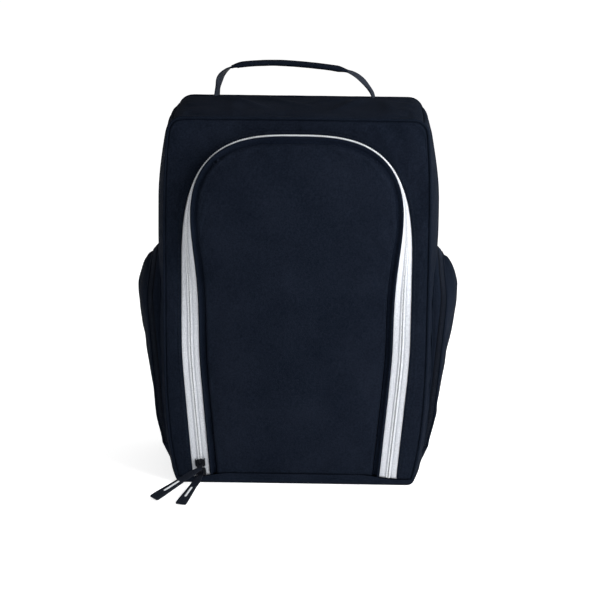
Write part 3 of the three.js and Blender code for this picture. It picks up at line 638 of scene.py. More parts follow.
WEBBING = ribbed("webbing", (0.007, 0.010, 0.017), (0.020, 0.025, 0.037), 0.0012, 0.0012, 0.7, 0.0002)
BOARD = woven("stiffener_board", (0.018, 0.020, 0.026), (0.030, 0.034, 0.042), 0.0006, 0.6, 0.1)


def dress(piece, nodes):
    """The piece stands for CAD nodes, which are hidden."""
    if nodes:
        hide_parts(*nodes)
    return piece


def place(piece, body, slot, *nodes):
    """The piece rides on a body."""
    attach(piece, body)
    return dress(piece, nodes)


def place_over_fold(piece, slot, *nodes):
    """The piece lies between the bag and the flap, where the flap folds; its transform is baked into its mesh.
    """
    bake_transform(piece)
    return dress(piece, nodes)


# ---- The body's surfaces ----

def face_half(z):
    """Half of the width of the front and back faces at a height, without the rounded top corner."""
    return HALF_WIDTH - END_TAPER * abs((z - WIDEST_Z) / WIDEST_Z) ** TAPER_POWER


def fullness(y):
    return 1 - (y / BACK_Y) ** 2


CORNER_Z = HEIGHT - TOP_CORNER
CORNER_X = face_half(CORNER_Z) - TOP_CORNER


def rear_lift(y, z):
    """How much higher the bag's top is towards the back."""
    return REAR_LIFT * smoothstep(y, FRONT_Y, BACK_Y) * smoothstep(z, REAR_LIFT_START_Z, HEIGHT)


def corner_point(turn, inset=0.0):
    radius = TOP_CORNER - inset
    return CORNER_X + radius * math.cos(turn), CORNER_Z + radius * math.sin(turn), turn


def wall_profile(steps, foot=PANEL_FOOT, inset=0.0):
    return [(face_half(z) - inset, z, 0.0) for z in (lerp(foot, CORNER_Z, t) for t in even(steps))]


def half_outline(inset, foot=PANEL_FOOT):
    """From a side's foot up and round its top corner to the top's middle, as (x, z)."""
    wall = wall_profile(WALL_STEPS, foot, inset)
    corner = [corner_point(t * math.pi / 2, inset) for t in even(CORNER_STEPS)[1:]]
    return [(x, z) for x, z, _ in wall + corner] + [(0.0, HEIGHT - inset)]


def face_outline(inset, y, foot=PANEL_FOOT):
    """The whole outline of the front or back face, from the right foot over the top to the left foot."""
    right = half_outline(inset, foot)
    left = [(-x, z) for x, z in reversed(right[:-1])]
    return Line([(x, y, z + rear_lift(y, z)) for x, z in right + left])


def skin_point(side, x, z, turn, y, depth):
    """A point of the sides or top: a profile point, moved out by the bulge at y and in by depth."""
    side_bulge = SIDE_BULGE * lerp(1, SIDE_BULGE_AT_TOP, smoothstep(z, SIDE_TAPER_START_Z, HEIGHT))
    bulge = fullness(y) * (side_bulge * math.cos(turn) ** 2 + TOP_CROWN * math.sin(turn) ** 2) - depth
    return Vector((side * (x + bulge * math.cos(turn)), y, z + bulge * math.sin(turn) + rear_lift(y, z)))


def coons(bottom, top, left, right, us, vs):
    """Rows of points over the patch between four lines, with their points at the fractions us and vs."""
    rows = []
    for start, end, v in zip(left, right, vs):
        row = []
        for low, high, u in zip(bottom, top, us):
            corners = lerp(lerp(bottom[0], bottom[-1], u), lerp(top[0], top[-1], u), v)
            row.append(lerp(low, high, v) + lerp(start, end, u) - corners)
        rows.append(row)
    return rows


def corner_of(line, axis, count):
    """The first of count even distances up an arched line at which it runs more along the axis than up."""
    distances = np.linspace(0, line.length / 2, count)
    return next(s for s in distances if abs(line.tangent(s)[axis]) > line.tangent(s).z)


def patch(line, low_corner, high_corner, columns, rows):
    """A grid inside a line from the right foot over an arch to the left foot, closed straight below.

    The sides end and the top begins at the distances low_corner and high_corner along it."""
    right = [line.at(low_corner * t) for t in clustered(rows)]
    left = [line.at(lerp(line.length, high_corner, t)) for t in clustered(rows)]
    top = [line.at(lerp(high_corner, low_corner, t)) for t in clustered(columns)]
    bottom = [lerp(left[0], right[0], t) for t in clustered(columns)]
    return coons(bottom, top, left, right, clustered(columns), clustered(rows))


# ---- The main zip's path ----

class ZipArch:
    """The main zip's route round the flap, and the way it faces as it turns forward over the arch."""

    def __init__(self):
        lean = (ARCH_HALF - LEG_FOOT_X) / (LEG_KNEE_Z - ZIP_FOOT)

        def leg_x(z):
            below = LEG_KNEE_Z - z
            return ARCH_HALF - lean * (below + math.hypot(below, LEG_SOFTNESS)) / 2

        right = [(leg_x(z), z) for z in (lerp(ZIP_FOOT, ARCH_SPRING_Z, t) for t in even(90))]
        for t in clustered(120)[1:]:
            x, rise = superellipse(ARCH_HALF, ARCH_RISE, ARCH_POWER, t * math.pi / 2)
            right.append((max(x, 0.0), ARCH_SPRING_Z + rise))
        left = [(-x, z) for x, z in reversed(right[:-1])]
        self.line = Line([(x, FRONT_Y, z) for x, z in right + left])
        self.length = self.line.length

    def inward(self, s):
        return FORWARD.cross(self.line.tangent(s)).normalized()

    def turn(self, s):
        return TURN_MAX * smoothstep(self.line.at(s).z, TURN_START_Z, TURN_END_Z)

    def along(self, s, angle):
        return self.inward(s) * math.cos(angle) + FORWARD * math.sin(angle)

    def face(self, s):
        return self.along(s, self.turn(s) + math.pi / 2)

    def on_zip(self, s, u, v):
        """A place on the zip: u across it towards the flap, and v out from its face."""
        turn = self.turn(s)
        return self.line.at(s) + self.along(s, turn) * u + self.along(s, turn + math.pi / 2) * v

    def relief(self, s):
        return GAP + BAND_THICKNESS * math.sin(self.turn(s) / 2)

    def on_band(self, s, u, v):
        """A place on the dark band between the zip and the flap's panel."""
        half = self.turn(s) / 2
        start = self.on_zip(s, ZIP_WIDTH + self.relief(s), 0)
        return start + self.along(s, half) * u + self.along(s, half + math.pi / 2) * v

    def flap_edge(self, s):
        return self.on_band(s, BAND_WIDTH, 0) + self.inward(s) * self.relief(s)


ZIP = ZipArch()


# ---- The bag's body ----

def inside_pocket(y, z, margin):
    """Whether a place on the side lies on or within the pocket's arch, widened by a margin."""
    if z < POCKET_SPRING:
        return abs(y) < POCKET_HALF + margin and z > POCKET_BOTTOM - 0.004 - margin
    reach = (abs(y) / (POCKET_HALF + margin)) ** POCKET_POWER
    rise = ((z - POCKET_SPRING) / (POCKET_RISE + margin)) ** POCKET_POWER
    return reach + rise < 1


def side_fold(side, y, z):
    """The soft upright folds of a side panel."""
    return SIDE_FOLDS * ripple(y, z * 0.3, side + 5.3, 0.028) * clamp(fullness(y) * 3)


def build_sides():
    for name, side in SIDES:
        profile = wall_profile(64) + [corner_point(SEAM_TURN * t) for t in even(6)[1:]]
        run = Line([(x, z, 0) for x, z, _ in profile])
        rows = []
        for k, (x, z, turn) in enumerate(profile):
            from_top = run.length - run.distances[k]
            row = []
            for t in clustered(40):
                y = lerp(-PANEL_REACH, PANEL_REACH, t)
                from_edge = PANEL_REACH - abs(y)
                depth = max(curl(from_edge), curl(from_top)) - side_fold(side, y, z)
                depth -= pucker(z, from_edge, side * 3.1 + math.copysign(1.7, y))
                row.append(skin_point(side, x, z, turn, y, depth))
            rows.append(row)
        panel = grid_piece(f"{name}_side_fabric", rows, [FABRIC, LINING], (side, 0, 0))

        def held(p):
            edge = abs(p.y) > PANEL_REACH - CURL or p.z < PANEL_FOOT + 0.002 or p.z > CORNER_Z
            return edge or inside_pocket(p.y, p.z, 0.002)

        settle(panel, held, pressure=3.0, slack=0.02, cap=0.0012)
        place(smooth(thicken(panel, SHEET, lined=True)), "root", "fabric", f"{name}_side_panel")


HANDLE_FEET = [(x * HANDLE_ROUTE_UNIT, HANDLE_Y) for x, rise in (HANDLE_ROUTE[0], HANDLE_ROUTE[-1])]
TOP_CREASES = [  # from, to, height: the pull of the handle's feet on the top
    ((-0.072, 0.045), (-0.030, -0.035), 0.00256),
    ((-0.062, 0.030), (-0.058, -0.055), 0.00160),
    ((-0.040, 0.052), (0.012, -0.020), 0.00208),
    ((0.062, 0.040), (0.030, -0.045), 0.00256),
    ((0.078, 0.035), (0.084, -0.050), 0.00176),
    ((0.052, 0.050), (0.004, 0.010), 0.00160),
]


def crease(x, y, start, end, height, width=0.006):
    """A soft ridge from start to end, which fades at both ends."""
    p, a, b = Vector((x, y)), Vector(start), Vector(end)
    along = b - a
    t = clamp((p - a).dot(along) / along.length_squared)
    distance = (p - a - along * t).length
    return height * math.exp(-(distance / width) ** 2) * math.sin(math.pi * clamp(t * 0.9 + 0.05))


def top_lift(x, y):
    """How the top stands off its crown: pulled up at the handle's feet, creased, and sagging between them."""
    lift = -TOP_SAG * math.exp(-((x + 0.005) / 0.045) ** 2 - ((y - 0.02) / 0.06) ** 2)
    for foot_x, foot_y in HANDLE_FEET:
        lift += HANDLE_PULL * math.exp(-((x - foot_x) ** 2 + (y - foot_y) ** 2) / HANDLE_PULL_REACH ** 2)
    lift += sum(crease(x, y, *fold) for fold in TOP_CREASES)
    return lift + TOP_WAVES * ripple(x, y, 2.2, 0.03)


def build_top():
    corner = [corner_point(lerp(SEAM_TURN * SEAM_OVERLAP, math.pi / 2, t)) for t in even(6)]
    right = [(1, *p) for p in corner]
    flat = [(1, CORNER_X * x, HEIGHT, math.pi / 2) for x in (1 - 2 * t for t in even(52)[1:-1])]
    left = [(-1, *p) for p in reversed(corner)]
    profile = right + flat + left
    run = Line([(side * x, z, 0) for side, x, z, _ in profile])
    rows = []
    for k, (side, x, z, turn) in enumerate(profile):
        from_end = min(run.distances[k], run.length - run.distances[k])
        row = []
        for t in clustered(40):
            y = lerp(-PANEL_REACH, PANEL_REACH, t)
            from_edge = PANEL_REACH - abs(y)
            ease = smoothstep(min(from_edge, from_end), 0, SEAM_EASE)
            depth = max(curl(from_edge), curl(from_end)) - ease * top_lift(side * x, y)
            depth -= pucker(side * x, from_edge, math.copysign(2.3, y))
            row.append(skin_point(side, x, z, turn, y, depth))
        rows.append(row)
    panel = grid_piece("top_fabric", rows, [FABRIC, LINING], (0, 0, 1))

    def held(p):
        near_foot = any((p.x - x) ** 2 + (p.y - y) ** 2 < 0.012 ** 2 for x, y in HANDLE_FEET)
        return abs(p.y) > PANEL_REACH - CURL or abs(p.x) > CORNER_X or near_foot

    settle(panel, held, pressure=1.0, slack=0.012, cap=0.0015)
    place(smooth(thicken(panel, SHEET, lined=True)), "root", "fabric", "top_panel")


def build_back():
    line = face_outline(FACE_INSET, BACK_Y)
    to_mid_corner = WALL_STEPS + CORNER_STEPS // 2 + 1
    corner = Line([(x, 0, z) for x, z in half_outline(FACE_INSET)[:to_mid_corner]]).length
    grid = patch(line, corner, line.length - corner, 48, 56)
    middle_z = (PANEL_FOOT + HEIGHT) / 2
    for row in grid:
        for p in row:
            from_side = face_half(p.z) - FACE_INSET - abs(p.x) if p.z < CORNER_Z else BACK_EASE
            from_edge = max(min(from_side, HEIGHT + REAR_LIFT - FACE_INSET - p.z, p.z - PANEL_FOOT), 0)
            swell = BACK_SWELL * (1 - (p.x / HALF_WIDTH) ** 2) * (1 - ((p.z - middle_z) / middle_z) ** 2)
            waves = BACK_WAVES * ripple(p.x, p.z, 7.7, 0.05) * smoothstep(from_edge, 0, BACK_EASE)
            p.y += max(swell, 0) - curl(from_edge) + waves
            p.y += pucker(p.x + p.z, from_edge, 4.9)
    panel = grid_piece("back_fabric", grid, [FABRIC, LINING], (0, 1, 0))

    def held(p):
        return p.z < PANEL_FOOT + 0.003 or p.z > HEIGHT - 0.005 or abs(p.x) > face_half(p.z) - 0.005

    settle(panel, held, pressure=1.2, slack=0.015, cap=0.003)
    place(smooth(thicken(panel, SHEET, lined=True)), "root", "fabric", "back_panel")


def surround_wrinkle(x, z):
    """Soft folds of the front beside the arch: upright ones low down, slanting ones in the upper corners."""
    upright = SURROUND_FOLDS * ripple(x * 2.2, z * 0.35, 11.4, 0.03)
    slant = abs(x) * 0.8 + z * 0.6
    corners = SURROUND_CORNER_FOLDS * ripple(slant, (z - abs(x)) * 0.25, 3.6 + math.copysign(1, x), 0.018)
    return lerp(upright, corners, smoothstep(z, 0.22, 0.30))


def build_surround():
    """The front between the piping and the zip: ruled from the outline to the arch, hemmed over the tape."""
    outline = face_outline(FACE_INSET, FRONT_Y)
    from_arch = nearness(ZIP.line.points, [0, 2])
    rows = []
    for t in even(230):
        outer = outline.at(t * outline.length)
        inner = ZIP.line.at(t * ZIP.line.length)
        width = (outer - inner).length
        row = []
        for u in clustered(26):
            p = outer.lerp(inner, u)
            from_outer, from_inner = u * width, (1 - u) * width
            ease = smoothstep(min(from_outer, from_inner), 0, SEAM_EASE)
            out = SURROUND_SWELL * ease + ease * surround_wrinkle(p.x, p.z)
            hem = HEM_RISE * smoothstep(from_inner, HEM_WIDTH, HEM_FULL_WIDTH)
            out += hem - curl(from_outer) - curl(from_inner, 0.0009)
            out += pucker(t * outline.length, from_inner, 8.8) + pucker(t * outline.length, from_outer, 1.4)
            p.y -= out
            row.append(p)
        rows.append(row)
    panel = grid_piece("front_surround_fabric", rows, [FABRIC, LINING], FORWARD)

    def held(p):
        return from_arch(p) < 0.007 or p.y > FRONT_Y + 0.0004 or p.z < PANEL_FOOT + 0.004

    settle(panel, held, pressure=0.8, slack=0.01, cap=0.0015)
    place(smooth(thicken(panel, SHEET, lined=True)), "root", "fabric", "front_surround")

    def on_hem(s):
        point = ZIP.line.at(s) - ZIP.inward(s) * HEM_STITCH_INSET
        return point + FORWARD * (HEM_RISE + 0.0001), FORWARD

    row = stitch_row("front_hem_stitches", on_hem, ZIP.line.length, THREAD)
    place(row, "root", "binding")


def build_piping():
    """Cords in the seams round the front and the rear face, covered in the bag's fabric."""
    for name, y in (("front", FRONT_Y + PIPING_STAND), ("rear", BACK_Y - PIPING_STAND)):
        line = face_outline(0, y, foot=PANEL_FOOT - 0.002)
        rings = tube_rings(line, PIPING_RADIUS, 10, 260, Vector((0, 1, 0)))
        for k, ring in enumerate(rings):
            swell = 1 + PIPING_SWELL * ripple(k * 0.0033, y, 6.1, 0.007)
            middle = sum(ring, Vector()) / len(ring)
            ring[:] = [middle + (p - middle) * swell for p in ring]
        piece = tube_piece(f"{name}_piping_cord", rings, PIPING)
        place(smooth(piece), "root", "piping", f"{name}_piping")
        inner = face_outline(SEAM_BINDING_INSET, y - math.copysign(PIPING_STAND, y))
        rings = tube_rings(inner, SEAM_BINDING_RADIUS, 8, 200, Vector((0, 1, 0)))
        place(tube_piece(f"{name}_seam_binding", rings, BINDING_DARKENED_FOR_SHADE), "root", "binding")


def base_rim(x, y):
    """How high the base wraps up: low beside the zip's feet and round the sides, higher under the flap."""
    under_flap = 1 - smoothstep(abs(x), 0.060, 0.094)
    return PANEL_FOOT + BASE_LAP + BASE_FLAP_RISE * under_flap * smoothstep(-y, 0.06, 0.075)


def rounded_plan(half_x, half_y, radius, along=36, corner=8):
    """A rectangle with rounded corners, as (x, y)."""
    points = []
    for quarter, (x_sign, y_sign) in enumerate(((1, 1), (-1, 1), (-1, -1), (1, -1))):
        for t in even(corner):
            angle = (quarter + t) * math.pi / 2
            x = x_sign * (half_x - radius) + radius * math.cos(angle)
            y = y_sign * (half_y - radius) + radius * math.sin(angle)
            points.append((x, y))
        start = points[-1]
        end = (-start[0], start[1]) if quarter % 2 == 0 else (start[0], -start[1])
        points += [(lerp(start[0], end[0], t), lerp(start[1], end[1], t)) for t in even(along)[1:-1]]
    return points


def base_ring(scale, level):
    """One ring round the base. level 0 is the rest face's edge and 1 is the rim, which folds in beyond 1."""
    turn = clamp(level) * math.pi / 2
    inset = BASE_EDGE * (1 - math.sin(turn)) + BASE_FOLD_IN * max(level - 1, 0)
    bulge = lerp(BASE_BULGE, SIDE_BULGE, clamp(level))
    half_x = face_half(PANEL_FOOT) + BASE_PROUD - inset
    half_y = BACK_Y + BASE_PROUD - inset
    ring = []
    for x, y in rounded_plan(half_x, half_y, BASE_CORNER - inset / 2):
        rise = base_rim(x, y)
        z = rise * (1 - math.cos(turn)) if level <= 1 else rise + 0.0007 * (1.5 - level)
        x += math.copysign(bulge * fullness(y), x) * smoothstep(abs(x), 0.09, 0.104)
        ring.append(Vector((x * scale, y * scale, z)))
    return ring


def build_base():
    levels = [(0.04, 0), (0.5, 0), (0.86, 0), (0.97, 0)]
    levels += [(1, t) for t in (*even(14), 1.12, 1.25, 1.6, 2.4)]
    levels += [(0.5, 2.4), (0.04, 2.4)]
    rings = [base_ring(scale, level) for scale, level in levels]
    piece = tube_piece("base_fabric", rings, FABRIC)
    place(piece, "root", "fabric", "base_panel")

    low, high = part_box("base_board")
    board = []
    for inset, z in ((0.001, low.z), (0, low.z + 0.0006), (0, high.z - 0.0006), (0.001, high.z)):
        outline = rounded_outline(high.x - inset, high.y - inset, 10, 96)
        board.append([Vector((x, y, z)) for x, y in outline])
    piece = tube_piece("base_board_cover", board, BOARD)
    place(piece, "root", "stiffener_board", "base_board")


# ---- The main zip ----

TAPE_PROFILE = [  # distance from the zip's middle and height: a woven channel runs beside the coil
    (0.0006, 0), (0.0018, 0), (0.0021, -0.0004), (0.0024, -0.0006), (0.0028, -0.0006),
    (0.0031, -0.0002), (0.0034, 0.0001), (0.0048, 0), (0.0064, 0.0001),
]


def zip_strip(name, hand, material):
    """One half of the zip's tape: hand is -1 for the outer half and 1 for the flap's."""
    profile = TAPE_PROFILE + [(ZIP_WIDTH / 2 + TAPE_TUCK, 0)]
    rows = []
    for t in even(320):
        s = t * ZIP.length
        rows.append([ZIP.on_zip(s, ZIP_WIDTH / 2 + hand * u, TAPE_FACE + v) for u, v in profile])
    return thicken(grid_piece(name, rows, [material], ZIP.face(ZIP.length / 2)), TAPE_THICKNESS)


def coil_piece(name, place_on_coil, length, hand, coil, material):
    """One half of a zip's coil: a flattened helix whose heads reach over the zip's middle."""
    steps = int(length / coil["pitch"]) * COIL_STEPS
    centres = []
    for k in range(steps + 1):
        angle = 2 * math.pi * k / COIL_STEPS + (0 if hand < 0 else math.pi)
        across = hand * (coil["offset"] - coil["reach"] * math.cos(angle))
        height = coil["height"] + coil["rise"] * math.sin(angle)
        centres.append(place_on_coil(length * k / steps, across, height))
    return tube_piece(name, tube_rings(Line(centres), coil["wire"], 5, steps), material)


def build_main_zip():
    middle = ZIP_WIDTH / 2
    outer = zip_strip("outer_zip_tape_cloth", -1, ZIP_TAPE)
    place(outer, "root", "zip_tape", "outer_zip_tape")
    inner = zip_strip("inner_zip_tape_cloth", 1, ZIP_TAPE)
    place_over_fold(inner, "zip_tape", "inner_zip_tape", "left_inner_tape_foot", "right_inner_tape_foot")

    def on_coil(s, across, v):
        return ZIP.on_zip(s, middle + across, v)

    for name, hand in (("outer", -1), ("inner", 1)):
        coil = coil_piece(f"{name}_zip_coil_wire", on_coil, ZIP.length, hand, MAIN_COIL, ZIP_COIL)

        def on_seam(s, across=hand * COIL_SEAM["across"]):
            return ZIP.on_zip(s, middle + across, COIL_SEAM["height"]), ZIP.face(s)

        sizes = COIL_SEAM["pitch"], COIL_SEAM["thread"]
        seam = stitch_row(f"{name}_zip_coil_seam", on_seam, ZIP.length, ZIP_THREAD, *sizes)
        if hand < 0:
            place(coil, "root", "zip_coil", "outer_zip_coil")
            place(seam, "root", "zip_coil")
        else:
            feet = "left_inner_coil_foot", "right_inner_coil_foot"
            place_over_fold(coil, "zip_coil", "inner_zip_coil", *feet)
            place_over_fold(seam, "zip_coil")


# ---- The flap ----

BAND_PROFILE = [  # u across the band and v off its face: a folded hem over the tape, then a deep groove
    (-0.0002, -0.0004), (-0.0002, 0.0004), (0.0003, 0.0009), (0.0011, 0.0011), (0.0019, 0.0009),
    (0.0025, 0.0002), (0.0028, -0.0012), (0.0033, -0.0025), (0.0045, -0.0030), (0.0062, -0.0028),
]
BAND_STITCHES = (0.0013, 0.0011)


def build_band():
    rows = []
    for t in even(320):
        s = t * ZIP.length
        rows.append([ZIP.on_band(s, u, v + pucker(s, abs(u - 0.006), 5.5, 0.0003)) for u, v in BAND_PROFILE])
    # The band's binding colour is darkened as painted shade for the groove beside the flap's panel.
    band = grid_piece("flap_band_cloth", rows, [BINDING_DARKENED_FOR_SHADE], FORWARD)
    place_over_fold(smooth(thicken(band, BAND_SHEET)), "binding", "flap_band")

    def on_hem(s):
        return ZIP.on_band(s, *BAND_STITCHES), ZIP.along(s, ZIP.turn(s) / 2 + math.pi / 2)

    place_over_fold(stitch_row("flap_band_stitches", on_hem, ZIP.length, THREAD), "binding")


def flap_patch(columns=52, rows=66):
    """A grid over the flap from its foot to the arch, and a function for a place's distance from the seam."""
    line = Line([ZIP.flap_edge(t * ZIP.length) for t in even(500)])
    corner = corner_of(line, 0, 600)
    grid = patch(line, corner, line.length - corner, columns, rows)
    foot = [lerp(line.at(0), line.at(line.length), t) for t in even(120)]
    return grid, nearness([*foot, *line.points], [0, 2])


def build_flap_panel():
    grid, from_seam = flap_patch()
    inner_rows = []
    for row in grid:
        inner_row = []
        for p in row:
            distance = from_seam(p)
            base = p.copy()
            level = 1 - clamp(1 - distance / FLAP_DOME) ** 2
            rise = smoothstep(p.z, 0.012, 0.075)
            p.y -= FLAP_BULGE * level * rise - curl(distance, 0.0024)
            p.y -= pucker(p.x * 1.3 + p.z, distance, 9.2, 0.0006)
            p.y -= FLAP_WAVES * ripple(p.x, p.z * 0.6, 14.2, 0.045) * smoothstep(distance, 0.002, 0.02)
            inner = base.lerp(Vector((0, base.y, 0.16)), 0.02)
            inner.y -= (FLAP_BULGE * level * rise - LINING_DEPTH) + LINING_WAVES * ripple(p.x, p.z, 21.5, 0.02)
            inner_row.append(inner)
        inner_rows.append(inner_row)
    panel = grid_piece("flap_padded_panel", grid, [FABRIC, LINING], FORWARD)
    settle(panel, lambda p: from_seam(p) < 0.0027, pressure=1.5, slack=0.012, cap=0.002)
    place_over_fold(smooth(thicken(panel, FLAP_SHEET)), "fabric", "flap_panel", "flap_foot")

    lining = grid_piece("flap_lining_cloth", inner_rows, [LINING], (0, 1, 0))
    place_over_fold(thicken(lining, LINING_SHEET), "lining", "flap_lining")


# ---- Sliders and pulls ----

def prism(outline, levels):
    """A closed body over an outline in the XZ plane. Each level is (y, scale of the outline)."""
    points = [Vector((a * scale, y, b * scale)) for y, scale in levels for a, b in outline]
    return points, tube_faces(len(levels), len(outline))


def shifted(outline, x, z):
    return [(a + x, b + z) for a, b in outline]


def slider_outline(half, mouth):
    """A shield that is wider at the slider's mouth, its upper end if mouth is 1 and its lower end if -1."""
    outline = rounded_outline(1, 1, 4.5, 40)
    return [(a * half * (0.84 + 0.16 * b * mouth), b * SLIDER_LENGTH / 2) for a, b in outline]


def bridge(top):
    """The arch over a slider's front plate that its tab hangs in, from the plate's face at y = top."""
    crown = top - BRIDGE_HEIGHT + 0.0008
    low, bend = top + 0.0004, top - 0.0013
    arch = spline([(0, low, -0.0027), (0, bend, -0.0025), (0, crown, -0.0012),
                   (0, crown, 0.0012), (0, bend, 0.0025), (0, low, 0.0027)], 6)
    rings = tube_rings(Line(arch), BRIDGE_WIRE, 10, 30, Vector((1, 0, 0)))
    points = [Vector((p.x * BRIDGE_SPREAD, p.y, p.z)) for ring in rings for p in ring]
    return points, tube_faces(len(rings), 10)


def slider_groups(half, mouth, depth):
    """A zip slider's body in its own frame: x across the zip, z along it, and -y out of its face.

    The coil's face is at y = 0."""
    outline = slider_outline(half, mouth)
    front, back = -CLEARANCE, depth + CLEARANCE
    face = front - PLATE
    post = [(POST_HALF_WIDTH * math.cos(a), 2 * POST_HALF_WIDTH * math.sin(a)) for a in round_angles(16)]
    rail = rounded_outline(RAIL_HALF_WIDTH, SLIDER_LENGTH * 0.40, 5, 20)
    rail_z = -mouth * SLIDER_LENGTH * 0.16
    groups = [
        prism(outline, [(front, 0.97), (front - 0.0002, 1), (face + 0.0004, 0.98), (face, 0.86)]),
        prism(outline, [(back + PLATE, 0.88), (back + PLATE - 0.0003, 1), (back + 0.0002, 1), (back, 0.97)]),
        prism(shifted(post, 0, mouth * SLIDER_LENGTH * 0.30), [(back + 0.0002, 1), (front - 0.0002, 1)]),
    ]
    for side in (-1, 1):
        placed = shifted(rail, side * half * 0.80, rail_z)
        groups.append(prism(placed, [(front + 0.0003, 1), (face - 0.0002, 1), (face - 0.0005, 0.985)]))
        groups.append(prism(placed, [(back + PLATE, 1), (back - 0.0003, 1)]))
    return groups + [bridge(face)]


def tab_groups():
    """A slider's tab: a flat bar with a slot for the bridge, hanging from the origin down -z."""
    section = [  # whether on the slot's side, place across the bar's thickness, and how far towards the edge
        (0, -1, 0.7), (0, -0.6, 1), (0, 0.6, 1), (0, 1, 0.7),
        (1, 1, 0.7), (1, 0.6, 1), (1, -0.6, 1), (1, -1, 0.7),
    ]
    outer = rounded_outline(TAB_WIDTH / 2, TAB_LENGTH / 2 + 0.0004, 5, 40)
    slot = shifted(rounded_outline(0.0011, 0.0016, 4, 40), 0, 0.0019)
    points, faces = [], []
    for (outer_x, outer_z), (slot_x, slot_z) in zip(outer, slot):
        for inside, across, reach in section:
            x, z = (slot_x, slot_z) if inside else (outer_x, outer_z)
            x = lerp((outer_x + slot_x) / 2, x, 0.9 + 0.1 * reach)
            z = lerp((outer_z + slot_z) / 2, z, 0.9 + 0.1 * reach)
            points.append(Vector((x, across * TAB_THICKNESS / 2, z - TAB_LENGTH / 2 + 0.0006)))
    size = len(section)
    for k in range(len(outer)):
        n = (k + 1) % len(outer)
        for m in range(size):
            o = (m + 1) % size
            faces.append([k * size + m, n * size + m, n * size + o, k * size + o])
    return [(points, faces)]


def flat_loft(name, matrix, length, half_width, half_thickness, material, relief=None, rows=40, columns=40):
    """A flat strip down -z in its own frame. Its half width and thickness are functions of t, 0 to 1."""
    rings = []
    for t in clustered(rows):
        ring = []
        for a, b in rounded_outline(half_width(t), half_thickness(t), 3.6, columns):
            if relief:
                b *= 1 + relief(t, a)
            ring.append(matrix @ Vector((a, b, -t * length)))
        rings.append(ring)
    return tube_piece(name, rings, material)


def transformed(groups, matrix):
    return [([matrix @ p for p in points], faces) for points, faces in groups]


def metal_piece(name, groups, matrix):
    piece = joined(name, transformed(groups, matrix), [ENAMEL])
    edge = piece.modifiers.new("edges", "BEVEL")
    edge.width = 0.00012
    edge.segments = 2
    return piece


def grip_relief(t, a):
    """The moulded pull's relief: a raised border, and crossed ribs over its last third."""
    border = 0.22 * smoothstep(abs(a), GRIP_WIDTH * 0.30, GRIP_WIDTH * 0.36)
    ribs = max(math.sin(t * GRIP_LENGTH * 2 * math.pi / 0.0017), 0) * smoothstep(t, 0.66, 0.69)
    grooves = 0.5 + 0.5 * math.cos(a * 2 * math.pi / 0.0021)
    return border + 0.34 * ribs * grooves * (1 - smoothstep(t, 0.955, 0.975))


def pivot_of(joint_name):
    """Where a joint's pivot is at rest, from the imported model."""
    joint = next(j for j in frame["joints"] if j["name"] == joint_name)
    return Vector(joint["pos_m"])


LEG_LEAN = math.atan2(ARCH_HALF - GAP - LEG_FOOT_X, LEG_KNEE_Z - ZIP_FOOT)


def build_main_pull(name, mouth):
    pivot = pivot_of(f"{name}_pull_swing")
    face = pivot - Vector((0, -BRIDGE_STAND, 0))
    body_frame = Matrix.Translation(face) @ Matrix.Rotation(-LEG_LEAN, 4, "Y")
    slider = metal_piece(f"{name}_slider_body_shell", slider_groups(SLIDER_HALF, mouth, 0.0019), body_frame)
    place(slider, f"{name}_slider_body", "slider_metal", f"{name}_slider")

    yaw = PULL_YAW[name]
    ribbon_start = GAP + TAB_WIDTH / 2 * math.tan(yaw)
    pull_length = ribbon_start + RIBBON_LENGTH + GAP + GRIP_LENGTH
    reach = TAB_LENGTH + pull_length * math.cos(yaw) + GRIP_WIDTH / 2 * math.sin(yaw)
    slope = math.asin((face.z - LOWEST_TIP) / reach)
    hanging = Matrix.Translation(pivot) @ Matrix.Rotation(slope - math.pi / 2, 4, "X")
    body = f"{name}_pull"
    place(metal_piece(f"{name}_tab_plate", tab_groups(), hanging), body, "slider_metal", f"{name}_tab")

    turned = hanging @ Matrix.Translation((0, 0, -TAB_LENGTH)) @ Matrix.Rotation(yaw, 4, "Y")
    start = turned @ Matrix.Translation((0, 0, 0.0012))
    ribbon_reach = ribbon_start + RIBBON_LENGTH + 0.0012 + 0.002

    def ribbon_width(t):
        return lerp(TAB_WIDTH / 2 - 0.0002, RIBBON_WIDTH / 2, smoothstep(t, 0, 0.5))

    def ribbon_thickness(t):
        return PULL_THICKNESS / 2 * (0.55 + 0.35 * math.sin(math.pi * clamp(t * 1.4)))

    sizes = ribbon_reach, ribbon_width, ribbon_thickness
    ribbon = flat_loft(f"{name}_pull_ribbon_cloth", start, *sizes, RIBBON)
    place(ribbon, body, "pull_ribbon", f"{name}_pull_ribbon")

    grip_frame = turned @ Matrix.Translation((0, 0, -ribbon_start - RIBBON_LENGTH))

    def grip_width(t):
        ends = min(t, 1 - t) * GRIP_LENGTH
        half = lerp(RIBBON_WIDTH / 2, GRIP_WIDTH / 2, smoothstep(t, 0, 0.9))
        return half * (0.84 + 0.16 * smoothstep(ends, 0, 0.0014))

    def grip_thickness(t):
        ends = min(t, 1 - t) * GRIP_LENGTH
        return PULL_THICKNESS / 2 * (0.6 + 0.4 * smoothstep(ends, 0, 0.0009))

    sizes = GRIP_LENGTH, grip_width, grip_thickness
    grip = flat_loft(f"{name}_pull_grip_moulding", grip_frame, *sizes, RUBBER, grip_relief, 150, 56)
    place(grip, body, "pull_rubber", f"{name}_pull_grip")

    bar = rounded_outline(0.00095, 0.0098, 8, 40)
    bar_frame = grip_frame @ Matrix.Translation((0, -PULL_THICKNESS / 2, -0.0125))
    groups = [prism(bar, [(0.0003, 1), (-0.00008, 1), (-0.00016, 0.95)])]
    place(joined(f"{name}_pull_pale_bar", transformed(groups, bar_frame), [PALE_PRINT]), body, "pull_rubber")


